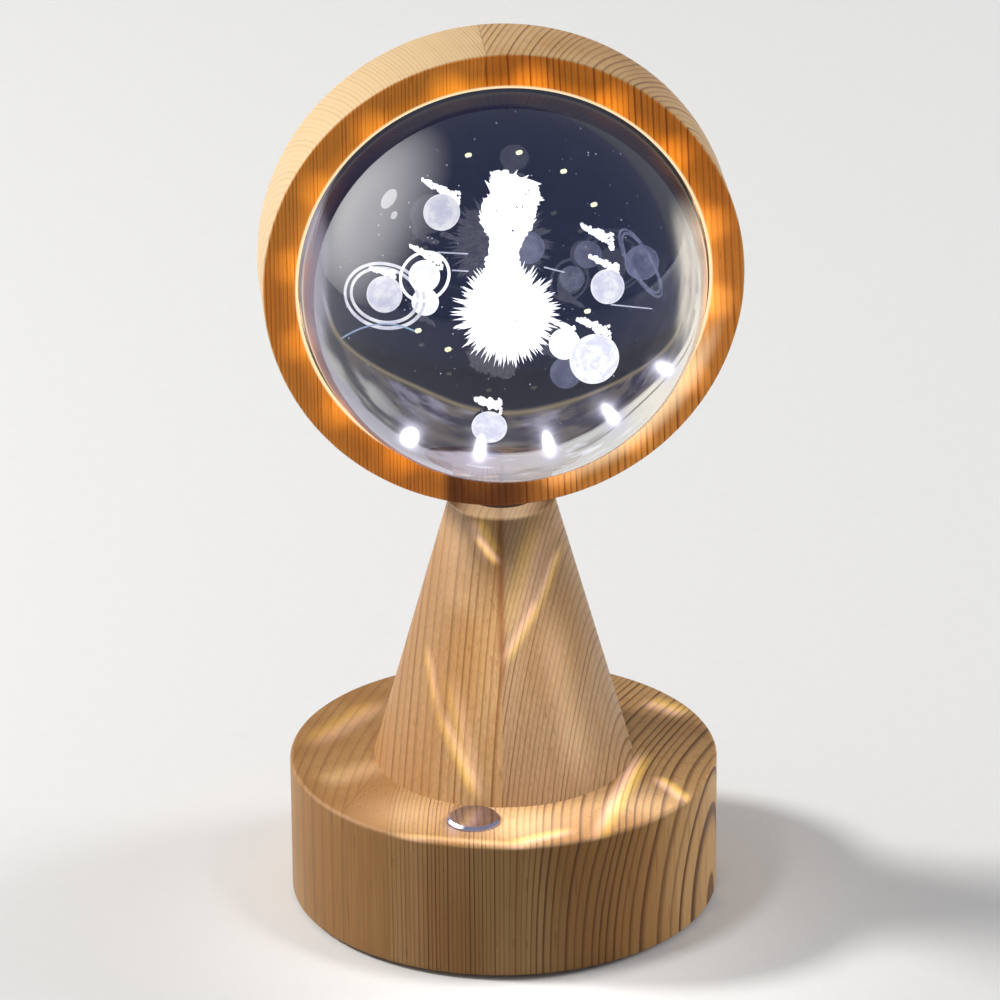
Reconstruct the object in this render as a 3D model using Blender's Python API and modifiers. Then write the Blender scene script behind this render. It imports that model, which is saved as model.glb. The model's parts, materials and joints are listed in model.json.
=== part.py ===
"""Crystal-ball night light, modelled as separate pieces at their real size.

A turned wooden ring holds a glass ball over a cone stem on a round base. The ring swivels on a hollow
bolt that runs down the stem, and the base holds the cell, the board, the charging port and the touch disc.

The origin is on the floor, on the stem's axis. +Z is up, and the touch disc is on the -Y side.
Lengths are in metres and angles in degrees.
"""

import math

import bmesh
import bpy

# Clearances that many pieces share
GAP = 0.0003
OVERRUN = 0.003
MERGE_DISTANCE = 0.000001

# Crystal ball and its seat
BALL_DIAMETER = 0.0800
BALL_CLEARANCE = 0.0003
BALL_SETBACK = 0.0029
SEAT_THICKNESS = 0.0009
SEAT_REACH = 0.0038

# Wooden ring
RING_WALL = 0.00695
RING_DEPTH = 0.0188
RING_OUTER_EDGE = 0.0005
RING_INNER_EDGE = 0.0004
SPOT_FACE_DEPTH = 0.0006

# Light strip and its leads
LED_COUNT = 16
LED_LENGTH = 0.0035
LED_WIDTH = 0.0028
LED_HEIGHT = 0.0012
LED_CLEARANCE = 0.0009
LED_FIRST_ANGLE = 187.5
STRIP_WIDTH = 0.0080
STRIP_THICKNESS = 0.0004
STRIP_GAP_LEFT = 0.0033
STRIP_GAP_RIGHT = 0.0026
LEAD_DIAMETER = 0.0010
LEAD_PITCH = 0.0013
LEAD_BEND = 0.0012
LEAD_RUN = 0.0065

# Hollow bolt and what clamps it
TUBE_DIAMETER = 0.0055
TUBE_BORE = 0.0032
FLANGE_WIDTH = 0.00115
FLANGE_THICKNESS = 0.0010
TUBE_PROTRUSION = 0.0010
SWIVEL_WASHER_DIAMETER = 0.0140
SWIVEL_WASHER_THICKNESS = 0.0019
STEM_WASHER_DIAMETER = 0.0160
STEM_WASHER_THICKNESS = 0.0012
SPRING_WASHER_DIAMETER = 0.0105
SPRING_WASHER_THICKNESS = 0.0012
NUT_ACROSS_CORNERS = 0.0110
NUT_THICKNESS = 0.0040

# Cone stem
CONE_INSET = 0.0171
CONE_TOP_DIAMETER = 0.0212
CONE_HEIGHT = 0.0560
CONE_EDGE = 0.0004
DOWEL_DIAMETER = 0.0040
DOWEL_INSET = 0.01125
DOWEL_IN_CONE = 0.0065
DOWEL_IN_BASE = 0.0042

# Wooden base
BASE_DIAMETER = 0.0867
BASE_HEIGHT = 0.0289
BASE_TOP_THICKNESS = 0.0060
BASE_WALL = 0.00675
BASE_TOP_EDGE = 0.0009
BASE_BOTTOM_EDGE = 0.0005
COVER_LEDGE = 0.0034
POST_DIAMETER = 0.0080
POST_INSET = 0.0031
POST_SETBACK = 0.0002

# Touch disc
TOUCH_DIAMETER = 0.0107
TOUCH_TO_CONE = 0.0005
TOUCH_PROUD = 0.0008
TOUCH_RECESS = 0.0006
TOUCH_CHAMFER = 0.0005
TOUCH_STUD_DIAMETER = 0.0035
TOUCH_STUD_PROTRUSION = 0.0024
TOUCH_WASHER_WIDTH = 0.0015
TOUCH_WASHER_THICKNESS = 0.0005
SPRING_DIAMETER = 0.0042
SPRING_WIRE = 0.0005
SPRING_TURNS = 5

# Board and the pieces on it
BOARD_WIDTH = 0.0160
BOARD_THICKNESS = 0.0016
BOARD_STANDOFF = 0.0035
BOARD_FRONT_MARGIN = 0.0020
BOARD_REAR_MARGIN = 0.0012
STANDOFF_DIAMETER = 0.0050
STANDOFF_OFFSET = 0.0160
STANDOFF_EDGE_MARGIN = 0.0026
TOUCH_CHIP_LENGTH = 0.0050
TOUCH_CHIP_WIDTH = 0.0040
CHIP_HEIGHT = 0.0016
TOUCH_CHIP_FROM_DISC = 0.0095
CHARGE_CHIP_WIDTH = 0.0040
CHARGE_CHIP_TO_SOCKET = 0.0045
INDUCTOR_WIDTH = 0.0050
INDUCTOR_HEIGHT = 0.0030
INDUCTOR_OFFSET = 0.0030
INDUCTOR_TO_CHIP = 0.0080

# Charging port
SOCKET_WIDTH = 0.0090
SOCKET_HEIGHT = 0.0032
SOCKET_DEPTH = 0.0074
SOCKET_CORNER = 0.0012
SOCKET_SETBACK = 0.0012
PORT_WIDTH = 0.0126
PORT_HEIGHT = 0.0068
PORT_CORNER = 0.0016
BEZEL_WALL = 0.0008
BEZEL_SETBACK = 0.0004

# Cell
CELL_TO_WALL = 0.0061
CELL_THICKNESS = 0.0080
CELL_EDGE = 0.0010
CELL_TO_POST = 0.0078
CELL_TO_BOARD = 0.0025
TAPE_THICKNESS = 0.0005
TAPE_MARGIN = 0.0020
CELL_LEAD_FROM_BOARD = 0.0060
CELL_LEAD_PITCH = 0.0020
CELL_LEAD_RUN = 0.0022
CELL_LEAD_BEND = 0.0020
CELL_LEAD_ON_BOARD = 0.0022

# Bottom cover, its screws and the foot
COVER_THICKNESS = 0.0032
COVER_CLEARANCE = 0.0003
PAD_THICKNESS = 0.0015
PAD_RECESS = 0.0010
PAD_INSET = 0.0038
SCREW_DIAMETER = 0.0022
SCREW_HEAD_WIDTH = 0.0011
SCREW_HEAD_THICKNESS = 0.0010
COVER_SCREW_BITE = 0.0080
BOARD_SCREW_BITE = 0.0030

# Angles
HEAD_YAW = 15.9
POST_ANGLES = (60.0, 180.0, 300.0)
QUARTER_TURN = 90.0
HALF_TURN = 180.0
FULL_TURN = 360.0

# Facets
LARGE_STEPS = 64
BALL_STEPS = 40
CONE_STEPS = 48
SMALL_STEPS = 16
ARC_STEPS = 4
NUT_SIDES = 6
ROUND_PROFILE = 0.5
CURL_POINTS = 10
WIRE_RESOLUTION = 1

# Sizes that follow from the ones above, across the head
ball_radius = BALL_DIAMETER / 2
bore_radius = ball_radius + BALL_CLEARANCE
ring_radius = bore_radius + RING_WALL
ring_half_depth = RING_DEPTH / 2
ball_forward = ring_half_depth - BALL_SETBACK
led_inner_radius = ball_radius + LED_CLEARANCE
strip_inner_radius = led_inner_radius + LED_HEIGHT + GAP
channel_radius = strip_inner_radius + STRIP_THICKNESS + GAP
channel_half_width = STRIP_WIDTH / 2 + GAP
ledge_radius = ball_radius + GAP + SEAT_THICKNESS + GAP
tube_radius = TUBE_DIAMETER / 2
tube_hole_radius = tube_radius + GAP
flange_radius = tube_radius + FLANGE_WIDTH
lead_radius = LEAD_DIAMETER / 2

# Across the base
base_radius = BASE_DIAMETER / 2
cavity_radius = base_radius - BASE_WALL
rebate_radius = cavity_radius + COVER_LEDGE
cover_radius = rebate_radius - COVER_CLEARANCE
pad_radius = cover_radius - PAD_INSET
post_centre = cavity_radius - POST_INSET
cone_bottom_radius = base_radius - CONE_INSET
dowel_offset = cone_bottom_radius - DOWEL_INSET
touch_y = -cone_bottom_radius - TOUCH_TO_CONE - TOUCH_DIAMETER / 2
stud_radius = TOUCH_STUD_DIAMETER / 2
screw_radius = SCREW_DIAMETER / 2
screw_hole_radius = screw_radius + GAP
screw_head_radius = screw_radius + SCREW_HEAD_WIDTH
dowel_hole_radius = DOWEL_DIAMETER / 2 + GAP
board_front_y = touch_y - BOARD_FRONT_MARGIN
socket_mouth_y = cavity_radius - SOCKET_SETBACK
board_rear_y = socket_mouth_y - BOARD_REAR_MARGIN
charge_chip_y = socket_mouth_y - SOCKET_DEPTH - CHARGE_CHIP_TO_SOCKET - CHARGE_CHIP_WIDTH / 2
inductor_y = charge_chip_y - CHARGE_CHIP_WIDTH / 2 - INDUCTOR_TO_CHIP - INDUCTOR_WIDTH / 2
standoff_x = BOARD_WIDTH / 2 - STANDOFF_EDGE_MARGIN

# Heights, from the floor up
cover_underside = PAD_THICKNESS + GAP
wood_bottom = cover_underside - PAD_RECESS
cover_top = wood_bottom + COVER_THICKNESS
shoulder_height = cover_top + GAP
base_top = wood_bottom + BASE_HEIGHT
ceiling = base_top - BASE_TOP_THICKNESS
board_bottom = cover_top + BOARD_STANDOFF + GAP
board_top = board_bottom + BOARD_THICKNESS
socket_bottom = board_top + GAP
port_centre = socket_bottom + SOCKET_HEIGHT / 2
cone_bottom = base_top + GAP
cone_top = cone_bottom + CONE_HEIGHT
swivel_washer_bottom = cone_top + GAP
spot_face = swivel_washer_bottom + SWIVEL_WASHER_THICKNESS + GAP
ring_bottom = spot_face - SPOT_FACE_DEPTH
ring_centre = ring_bottom + ring_radius
flange_top = ring_centre - channel_radius
flange_bottom = flange_top - FLANGE_THICKNESS
stem_washer_bottom = ceiling - GAP - STEM_WASHER_THICKNESS
spring_washer_bottom = stem_washer_bottom - GAP - SPRING_WASHER_THICKNESS
nut_bottom = spring_washer_bottom - GAP - NUT_THICKNESS
tube_bottom = nut_bottom - TUBE_PROTRUSION
touch_underside = base_top - TOUCH_RECESS + GAP
stud_bottom = ceiling - TOUCH_STUD_PROTRUSION


# Scene and materials


def clear_scene():
    for old in list(bpy.data.objects):
        bpy.data.objects.remove(old, do_unlink=True)


def new_collection(name):
    collection = bpy.data.collections.new(name)
    bpy.context.scene.collection.children.link(collection)
    return collection


def new_material(name, colour, roughness, metallic=0.0, transmission=0.0):
    material = bpy.data.materials.new(name)
    material.use_nodes = True
    surface = material.node_tree.nodes["Principled BSDF"]
    surface.inputs["Base Color"].default_value = (*colour, 1.0)
    surface.inputs["Roughness"].default_value = roughness
    surface.inputs["Metallic"].default_value = metallic
    surface.inputs["Transmission Weight"].default_value = transmission
    return material


clear_scene()
PARTS = new_collection("crystal_ball_night_light")
CUTTERS = new_collection("cutters")

RING_WOOD = new_material("ring_wood", (0.62, 0.36, 0.16), 0.45)
CONE_WOOD = new_material("cone_wood", (0.60, 0.40, 0.22), 0.45)
BASE_WOOD = new_material("base_wood", (0.58, 0.37, 0.19), 0.50)
DOWEL_WOOD = new_material("dowel_wood", (0.66, 0.47, 0.28), 0.60)
CRYSTAL = new_material("crystal", (0.80, 0.83, 0.92), 0.02, transmission=1.0)
SILICONE = new_material("clear_silicone", (0.85, 0.85, 0.83), 0.35)
STRIP_WHITE = new_material("strip_white", (0.86, 0.86, 0.84), 0.50)
LED_WHITE = new_material("led_white", (0.95, 0.96, 1.00), 0.30)
STEEL = new_material("plated_steel", (0.62, 0.62, 0.64), 0.30, metallic=1.0)
POLISHED = new_material("polished_metal", (0.72, 0.70, 0.72), 0.12, metallic=1.0)
BRASS = new_material("spring_brass", (0.72, 0.55, 0.26), 0.35, metallic=1.0)
NYLON = new_material("nylon", (0.20, 0.15, 0.11), 0.55)
BLACK_PLASTIC = new_material("black_plastic", (0.03, 0.03, 0.03), 0.45)
BOARD_GREEN = new_material("board_green", (0.03, 0.20, 0.09), 0.45)
CHIP_BLACK = new_material("chip_black", (0.02, 0.02, 0.02), 0.50)
CELL_FOIL = new_material("cell_foil", (0.55, 0.57, 0.60), 0.35, metallic=0.6)
TAPE_WHITE = new_material("tape_white", (0.80, 0.80, 0.78), 0.70)
RED_LEAD = new_material("red_lead", (0.55, 0.03, 0.02), 0.45)
BLACK_LEAD = new_material("black_lead", (0.02, 0.02, 0.02), 0.45)
FOAM = new_material("foam_rubber", (0.04, 0.04, 0.04), 0.90)


# Shapes


def add_object(name, data, material, parent=None, location=(0, 0, 0)):
    """A named piece in the parts collection."""
    piece = bpy.data.objects.new(name, data)
    PARTS.objects.link(piece)
    data.materials.append(material)
    piece.parent = parent
    piece.location = location
    return piece


def as_cutter(name, mesh, parent=None, location=(0, 0, 0)):
    """A wire-drawn helper object that only cuts or joins."""
    cutter = bpy.data.objects.new(name, mesh)
    CUTTERS.objects.link(cutter)
    cutter.hide_render = True
    cutter.display_type = "WIRE"
    cutter.parent = parent
    cutter.location = location
    return cutter


def combine(piece, tool, operation="DIFFERENCE"):
    modifier = piece.modifiers.new(tool.name, "BOOLEAN")
    modifier.operation = operation
    modifier.solver = "EXACT"
    modifier.object = tool
    return piece


def mesh_from(bm, name, smooth_angle=None):
    mesh = bpy.data.meshes.new(name)
    bm.to_mesh(mesh)
    bm.free()
    if smooth_angle is not None:
        mesh.shade_smooth()
        mesh.set_sharp_from_angle(angle=math.radians(smooth_angle))
    return mesh


def rod_mesh(name, radius, length, sides=SMALL_STEPS):
    """An upright cylinder that starts at height zero."""
    bm = bmesh.new()
    bmesh.ops.create_cone(bm, cap_ends=True, segments=sides, radius1=radius, radius2=radius, depth=length)
    bmesh.ops.translate(bm, verts=bm.verts, vec=(0, 0, length / 2))
    return mesh_from(bm, name)


def box_mesh(name, width, depth, height, corner=0.0, corner_axis="Z"):
    """A box about its own centre; its edges along one axis may be rounded."""
    bm = bmesh.new()
    bmesh.ops.create_cube(bm, size=1.0)
    bmesh.ops.scale(bm, verts=bm.verts, vec=(width, depth, height))
    if corner > 0:
        along = "XYZ".index(corner_axis)
        edges = [e for e in bm.edges if e.verts[0].co[along] != e.verts[1].co[along]]
        bmesh.ops.bevel(
            bm, geom=edges, offset=corner, segments=ARC_STEPS, affect="EDGES", profile=ROUND_PROFILE
        )
    return mesh_from(bm, name)


def outline_mesh(name, outline, closed):
    """An open or closed line of (radius, height) points, for turning."""
    bm = bmesh.new()
    points = [bm.verts.new((radius, 0, height)) for radius, height in outline]
    for first, second in zip(points, points[1:]):
        bm.edges.new((first, second))
    if closed:
        bm.edges.new((points[-1], points[0]))
    return mesh_from(bm, name)


def turn(piece, steps):
    """Turn a piece's outline about its own Z axis."""
    screw = piece.modifiers.new("turn", "SCREW")
    screw.steps = steps
    screw.render_steps = steps
    screw.use_merge_vertices = True
    screw.merge_threshold = MERGE_DISTANCE
    screw.use_smooth_shade = True
    return piece


def turned(name, outline, material, steps=SMALL_STEPS, closed=True, parent=None, location=(0, 0, 0)):
    piece = add_object(name, outline_mesh(name, outline, closed), material, parent, location)
    return turn(piece, steps)


def sleeve(inner, outer, height):
    """Outline of a plain ring that stands on height zero, outer side first."""
    return [(outer, height), (outer, 0), (inner, 0), (inner, height)]


def arc(centre, radius, start, end, steps=ARC_STEPS):
    """Points on an arc, from start to end degrees."""
    angles = [math.radians(start + (end - start) * k / steps) for k in range(steps + 1)]
    return [(centre[0] + radius * math.cos(a), centre[1] + radius * math.sin(a)) for a in angles]


def drill(piece, name, radius, bottom, top, x=0.0, y=0.0, sides=SMALL_STEPS, parent=None):
    """Cut an upright round hole from bottom to top."""
    bar = rod_mesh(name, radius, top - bottom, sides)
    return combine(piece, as_cutter(name, bar, parent, (x, y, bottom)))


def wire(name, points, diameter, material, parent=None):
    curve = bpy.data.curves.new(name, "CURVE")
    curve.dimensions = "3D"
    curve.bevel_depth = diameter / 2
    curve.bevel_resolution = WIRE_RESOLUTION
    curve.use_fill_caps = True
    spline = curve.splines.new("POLY")
    spline.points.add(len(points) - 1)
    for knot, point in zip(spline.points, points):
        knot.co = (*point, 1.0)
    return add_object(name, curve, material, parent)


def screw_outline(bite):
    """A pan-head screw, head down, from the axis at the tip to the axis under the head."""
    shank_top = SCREW_HEAD_THICKNESS + bite
    return [
        (0, shank_top),
        (screw_radius, shank_top),
        (screw_radius, SCREW_HEAD_THICKNESS),
        (screw_head_radius, SCREW_HEAD_THICKNESS),
        (screw_head_radius, 0),
        (0, 0),
    ]


# Head


def head_frame():
    """Empty on the swivel axis at the ring's centre, turned to where the head faces."""
    frame = bpy.data.objects.new("head_frame", None)
    PARTS.objects.link(frame)
    frame.location = (0, 0, ring_centre)
    frame.rotation_euler = (0, 0, math.radians(HEAD_YAW))
    return frame


def lay_on_ring_axis(piece):
    """Point a turned piece's own +Z out of the ring's front face."""
    piece.rotation_euler = (math.radians(QUARTER_TURN), 0, 0)
    return piece


def around_ball(radius, behind):
    """Distance from the ring's axis to a sphere about the ball's centre, this far behind the centre."""
    return math.sqrt(radius**2 - behind**2)


def head_ring(head):
    front = ring_half_depth
    ledge_width = front - channel_half_width
    depths = [front + ball_forward - ledge_width * k / ARC_STEPS for k in range(ARC_STEPS + 1)]
    ledge = [(around_ball(ledge_radius, behind), ball_forward - behind) for behind in depths]
    outline = [
        (ring_radius - RING_OUTER_EDGE, front),
        (ring_radius, front - RING_OUTER_EDGE),
        (ring_radius, RING_OUTER_EDGE - front),
        (ring_radius - RING_OUTER_EDGE, -front),
        *ledge,
        (channel_radius, -channel_half_width),
        (channel_radius, channel_half_width),
        (bore_radius, channel_half_width),
        (bore_radius, front - RING_INNER_EDGE),
        (bore_radius + RING_INNER_EDGE, front),
    ]
    ring = lay_on_ring_axis(turned("head_ring", outline, RING_WOOD, LARGE_STEPS, parent=head))
    below = -ring_radius - OVERRUN
    inside = OVERRUN - channel_radius
    recess_floor = flange_bottom - GAP - ring_centre
    washer_recess = SWIVEL_WASHER_DIAMETER / 2 + GAP
    drill(ring, "ring_bolt_hole", tube_hole_radius, below, inside, parent=head)
    drill(ring, "ring_flange_recess", flange_radius + GAP, recess_floor, inside, parent=head)
    drill(ring, "ring_spot_face", washer_recess, below, spot_face - ring_centre, parent=head)


def crystal_ball(head):
    bm = bmesh.new()
    bmesh.ops.create_uvsphere(bm, u_segments=BALL_STEPS, v_segments=BALL_STEPS // 2, radius=ball_radius)
    mesh = mesh_from(bm, "crystal_ball", HALF_TURN)
    add_object("crystal_ball", mesh, CRYSTAL, head, (0, -ball_forward, 0))


def ball_seat(head):
    """Thin ring that follows the ball in front of the rear ledge's surface."""
    deepest = ring_half_depth + ball_forward - GAP
    depths = [deepest - SEAT_REACH * k / ARC_STEPS for k in range(ARC_STEPS + 1)]
    inner = ball_radius + GAP
    outer = inner + SEAT_THICKNESS
    outline = [(around_ball(outer, behind), ball_forward - behind) for behind in reversed(depths)]
    outline += [(around_ball(inner, behind), ball_forward - behind) for behind in depths]
    lay_on_ring_axis(turned("ball_seat", outline, SILICONE, BALL_STEPS, parent=head))


def light_strip(head):
    outline = [
        (strip_inner_radius + STRIP_THICKNESS, STRIP_WIDTH / 2),
        (strip_inner_radius + STRIP_THICKNESS, -STRIP_WIDTH / 2),
        (strip_inner_radius, -STRIP_WIDTH / 2),
        (strip_inner_radius, STRIP_WIDTH / 2),
    ]
    strip = lay_on_ring_axis(turned("led_strip", outline, STRIP_WHITE, LARGE_STEPS, parent=head))
    opening_size = (STRIP_GAP_LEFT + STRIP_GAP_RIGHT, STRIP_WIDTH + OVERRUN, STRIP_THICKNESS + OVERRUN)
    middle = ((STRIP_GAP_RIGHT - STRIP_GAP_LEFT) / 2, 0, -strip_inner_radius)
    combine(strip, as_cutter("strip_opening", box_mesh("strip_opening", *opening_size), head, middle))
    shared = box_mesh("led", LED_LENGTH, LED_WIDTH, LED_HEIGHT)
    shared.materials.append(LED_WHITE)
    for index in range(LED_COUNT):
        angle = math.radians(LED_FIRST_ANGLE + FULL_TURN * index / LED_COUNT)
        led = bpy.data.objects.new(f"led_{index + 1:02d}", shared)
        PARTS.objects.link(led)
        led.parent = head
        reach = led_inner_radius + LED_HEIGHT / 2
        led.location = (reach * math.sin(angle), 0, reach * math.cos(angle))
        led.rotation_euler = (0, angle, 0)


def strip_leads(head):
    """Two wires from the strip's end, over it, and down the bolt's bore to the board."""
    run_height = GAP + lead_radius - around_ball(strip_inner_radius, LEAD_RUN)
    foot = board_top + GAP - ring_centre
    bend = arc((LEAD_BEND, run_height - LEAD_BEND), LEAD_BEND, HALF_TURN, QUARTER_TURN)
    path = [(0, foot), *bend, (LEAD_RUN, run_height)]
    sides = {"led_lead_positive": (1, RED_LEAD), "led_lead_negative": (-1, BLACK_LEAD)}
    for name, (side, material) in sides.items():
        wire(name, [(x, side * LEAD_PITCH / 2, z) for x, z in path], LEAD_DIAMETER, material, head)


# Stem


def stem_tube():
    length = flange_top - tube_bottom
    outline = [
        (flange_radius, length),
        (flange_radius, length - FLANGE_THICKNESS),
        (tube_radius, length - FLANGE_THICKNESS),
        (tube_radius, 0),
        (TUBE_BORE / 2, 0),
        (TUBE_BORE / 2, length),
    ]
    turned("stem_tube", outline, STEEL, location=(0, 0, tube_bottom))


def washer(name, diameter, thickness, height, material):
    turned(name, sleeve(tube_hole_radius, diameter / 2, thickness), material, location=(0, 0, height))


def stem_nut():
    mesh = rod_mesh("stem_nut", NUT_ACROSS_CORNERS / 2, NUT_THICKNESS, NUT_SIDES)
    nut = add_object("stem_nut", mesh, STEEL, location=(0, 0, nut_bottom))
    drill(nut, "nut_hole", tube_hole_radius, nut_bottom - OVERRUN, nut_bottom + NUT_THICKNESS + OVERRUN)


def cone_stem():
    top = CONE_TOP_DIAMETER / 2
    slope = (cone_bottom_radius - top) / CONE_HEIGHT
    outline = [
        (top - CONE_EDGE, CONE_HEIGHT),
        (top + slope * CONE_EDGE, CONE_HEIGHT - CONE_EDGE),
        (cone_bottom_radius, 0),
        (tube_hole_radius, 0),
        (tube_hole_radius, CONE_HEIGHT),
    ]
    cone = turned("cone_stem", outline, CONE_WOOD, CONE_STEPS, location=(0, 0, cone_bottom))
    for number, side in enumerate((-1, 1), start=1):
        below = cone_bottom - OVERRUN
        hole_top = cone_bottom + DOWEL_IN_CONE + GAP
        drill(cone, f"cone_dowel_hole_{number}", dowel_hole_radius, below, hole_top, side * dowel_offset)


def cone_dowels():
    length = DOWEL_IN_CONE + GAP + DOWEL_IN_BASE
    for number, side in enumerate((-1, 1), start=1):
        name = f"cone_dowel_{number}"
        mesh = rod_mesh(name, DOWEL_DIAMETER / 2, length)
        add_object(name, mesh, DOWEL_WOOD, location=(side * dowel_offset, 0, base_top - DOWEL_IN_BASE))


# Base


def post_places():
    """Centres of the three screw posts, seen from above."""
    for degrees in POST_ANGLES:
        angle = math.radians(degrees)
        yield post_centre * math.cos(angle), post_centre * math.sin(angle)


def port_bar(name, margin, front, rear):
    """Rounded bar along Y, larger than the port's opening by a margin all round."""
    width = PORT_WIDTH + 2 * margin
    height = PORT_HEIGHT + 2 * margin
    return box_mesh(name, width, rear - front, height, PORT_CORNER + margin, "Y")


def port_cutter(name, margin, front, rear):
    return as_cutter(name, port_bar(name, margin, front, rear), location=(0, (front + rear) / 2, port_centre))


def base_body():
    shoulder = shoulder_height - wood_bottom
    roof = ceiling - wood_bottom
    corner = (base_radius - BASE_TOP_EDGE, BASE_HEIGHT - BASE_TOP_EDGE)
    outline = [
        (tube_hole_radius, BASE_HEIGHT),
        *arc(corner, BASE_TOP_EDGE, QUARTER_TURN, 0),
        (base_radius, BASE_BOTTOM_EDGE),
        (base_radius - BASE_BOTTOM_EDGE, 0),
        (rebate_radius, 0),
        (rebate_radius, shoulder),
        (cavity_radius, shoulder),
        (cavity_radius, roof),
        (tube_hole_radius, roof),
    ]
    base = turned("base_body", outline, BASE_WOOD, LARGE_STEPS, location=(0, 0, wood_bottom))
    post_bottom = shoulder_height + POST_SETBACK
    post_top = ceiling + BASE_TOP_THICKNESS / 2
    for number, (x, y) in enumerate(post_places(), start=1):
        name = f"base_post_{number}"
        mesh = rod_mesh(name, POST_DIAMETER / 2, post_top - post_bottom)
        combine(base, as_cutter(name, mesh, location=(x, y, post_bottom)), "UNION")
        screw_end = cover_underside + SCREW_HEAD_THICKNESS + COVER_SCREW_BITE + GAP
        drill(base, f"base_screw_hole_{number}", screw_hole_radius, wood_bottom, screw_end, x, y)
    above = base_top + OVERRUN
    for number, side in enumerate((-1, 1), start=1):
        dowel_end = base_top - DOWEL_IN_BASE - GAP
        drill(base, f"base_dowel_hole_{number}", dowel_hole_radius, dowel_end, above, side * dowel_offset)
    drill(base, "touch_stud_hole", stud_radius + GAP, ceiling - OVERRUN, above, y=touch_y)
    seat_radius = TOUCH_DIAMETER / 2 + GAP
    drill(base, "touch_recess", seat_radius, base_top - TOUCH_RECESS, above, y=touch_y, sides=CONE_STEPS)
    combine(base, port_cutter("base_port", BEZEL_WALL + GAP, socket_mouth_y - OVERRUN, base_radius + OVERRUN))


def touch_disc():
    head_thickness = TOUCH_PROUD + TOUCH_RECESS - GAP
    head_bottom = touch_underside - stud_bottom
    head_top = head_bottom + head_thickness
    disc_radius = TOUCH_DIAMETER / 2
    outline = [
        (0, head_top),
        (disc_radius - TOUCH_CHAMFER, head_top),
        (disc_radius, head_top - TOUCH_CHAMFER),
        (disc_radius, head_bottom),
        (stud_radius, head_bottom),
        (stud_radius, 0),
        (0, 0),
    ]
    turned("touch_disc", outline, POLISHED, BALL_STEPS, closed=False, location=(0, touch_y, stud_bottom))
    clip_height = ceiling - GAP - TOUCH_WASHER_THICKNESS
    clip_hole = stud_radius + GAP
    clip = sleeve(clip_hole, clip_hole + TOUCH_WASHER_WIDTH, TOUCH_WASHER_THICKNESS)
    turned("touch_washer", clip, STEEL, location=(0, touch_y, clip_height))


def touch_spring():
    """Coil that stands on the board and reaches the disc's stud."""
    low = board_top + GAP + SPRING_WIRE / 2
    high = stud_bottom - GAP - SPRING_WIRE / 2
    radius = (SPRING_DIAMETER - SPRING_WIRE) / 2
    count = SPRING_TURNS * CURL_POINTS
    points = []
    for index in range(count + 1):
        angle = math.radians(FULL_TURN * index / CURL_POINTS)
        height = low + (high - low) * index / count
        points.append((radius * math.cos(angle), touch_y + radius * math.sin(angle), height))
    turn_gap = (high - low) / SPRING_TURNS - SPRING_WIRE
    print(f"touch_spring: least gap between turns {turn_gap * 1000:.2f} mm")
    wire("touch_spring", points, SPRING_WIRE, BRASS)


def standoff_places():
    """Centres of the two board standoffs, seen from above."""
    return ((-standoff_x, -STANDOFF_OFFSET), (standoff_x, STANDOFF_OFFSET))


def control_board():
    length = board_rear_y - board_front_y
    middle = (0, (board_rear_y + board_front_y) / 2, board_bottom + BOARD_THICKNESS / 2)
    mesh = box_mesh("control_board", BOARD_WIDTH, length, BOARD_THICKNESS)
    board = add_object("control_board", mesh, BOARD_GREEN, location=middle)
    head_bottom = board_top + GAP
    screw_tip_reach = BOARD_THICKNESS + GAP + BOARD_SCREW_BITE
    for number, (x, y) in enumerate(standoff_places(), start=1):
        hole_bottom = board_bottom - OVERRUN
        drill(board, f"board_hole_{number}", screw_hole_radius, hole_bottom, board_top + OVERRUN, x, y)
        screw = turned(f"board_screw_{number}", screw_outline(screw_tip_reach), STEEL, closed=False)
        screw.location = (x, y, head_bottom + SCREW_HEAD_THICKNESS)
        screw.rotation_euler = (math.radians(HALF_TURN), 0, 0)


def on_board(name, width, depth, height, x, y):
    mesh = box_mesh(name, width, depth, height)
    add_object(name, mesh, CHIP_BLACK, location=(x, y, board_top + GAP + height / 2))


def board_components():
    touch_chip_y = touch_y + TOUCH_CHIP_FROM_DISC
    inductor = (INDUCTOR_WIDTH, INDUCTOR_WIDTH, INDUCTOR_HEIGHT, -INDUCTOR_OFFSET, inductor_y)
    on_board("touch_chip", TOUCH_CHIP_LENGTH, TOUCH_CHIP_WIDTH, CHIP_HEIGHT, 0, touch_chip_y)
    on_board("charge_chip", CHARGE_CHIP_WIDTH, CHARGE_CHIP_WIDTH, CHIP_HEIGHT, 0, charge_chip_y)
    on_board("boost_inductor", *inductor)


def charging_port():
    shell = box_mesh("usb_socket", SOCKET_WIDTH, SOCKET_DEPTH, SOCKET_HEIGHT, SOCKET_CORNER, "Y")
    add_object("usb_socket", shell, STEEL, location=(0, socket_mouth_y - SOCKET_DEPTH / 2, port_centre))
    half_width = PORT_WIDTH / 2 + BEZEL_WALL
    front = socket_mouth_y + GAP + GAP
    rear = math.sqrt(base_radius**2 - half_width**2) - BEZEL_SETBACK
    mesh = port_bar("usb_bezel", BEZEL_WALL, front, rear)
    bezel = add_object("usb_bezel", mesh, BLACK_PLASTIC, location=(0, (front + rear) / 2, port_centre))
    combine(bezel, port_cutter("bezel_opening", 0, front - OVERRUN, rear + OVERRUN))


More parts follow.
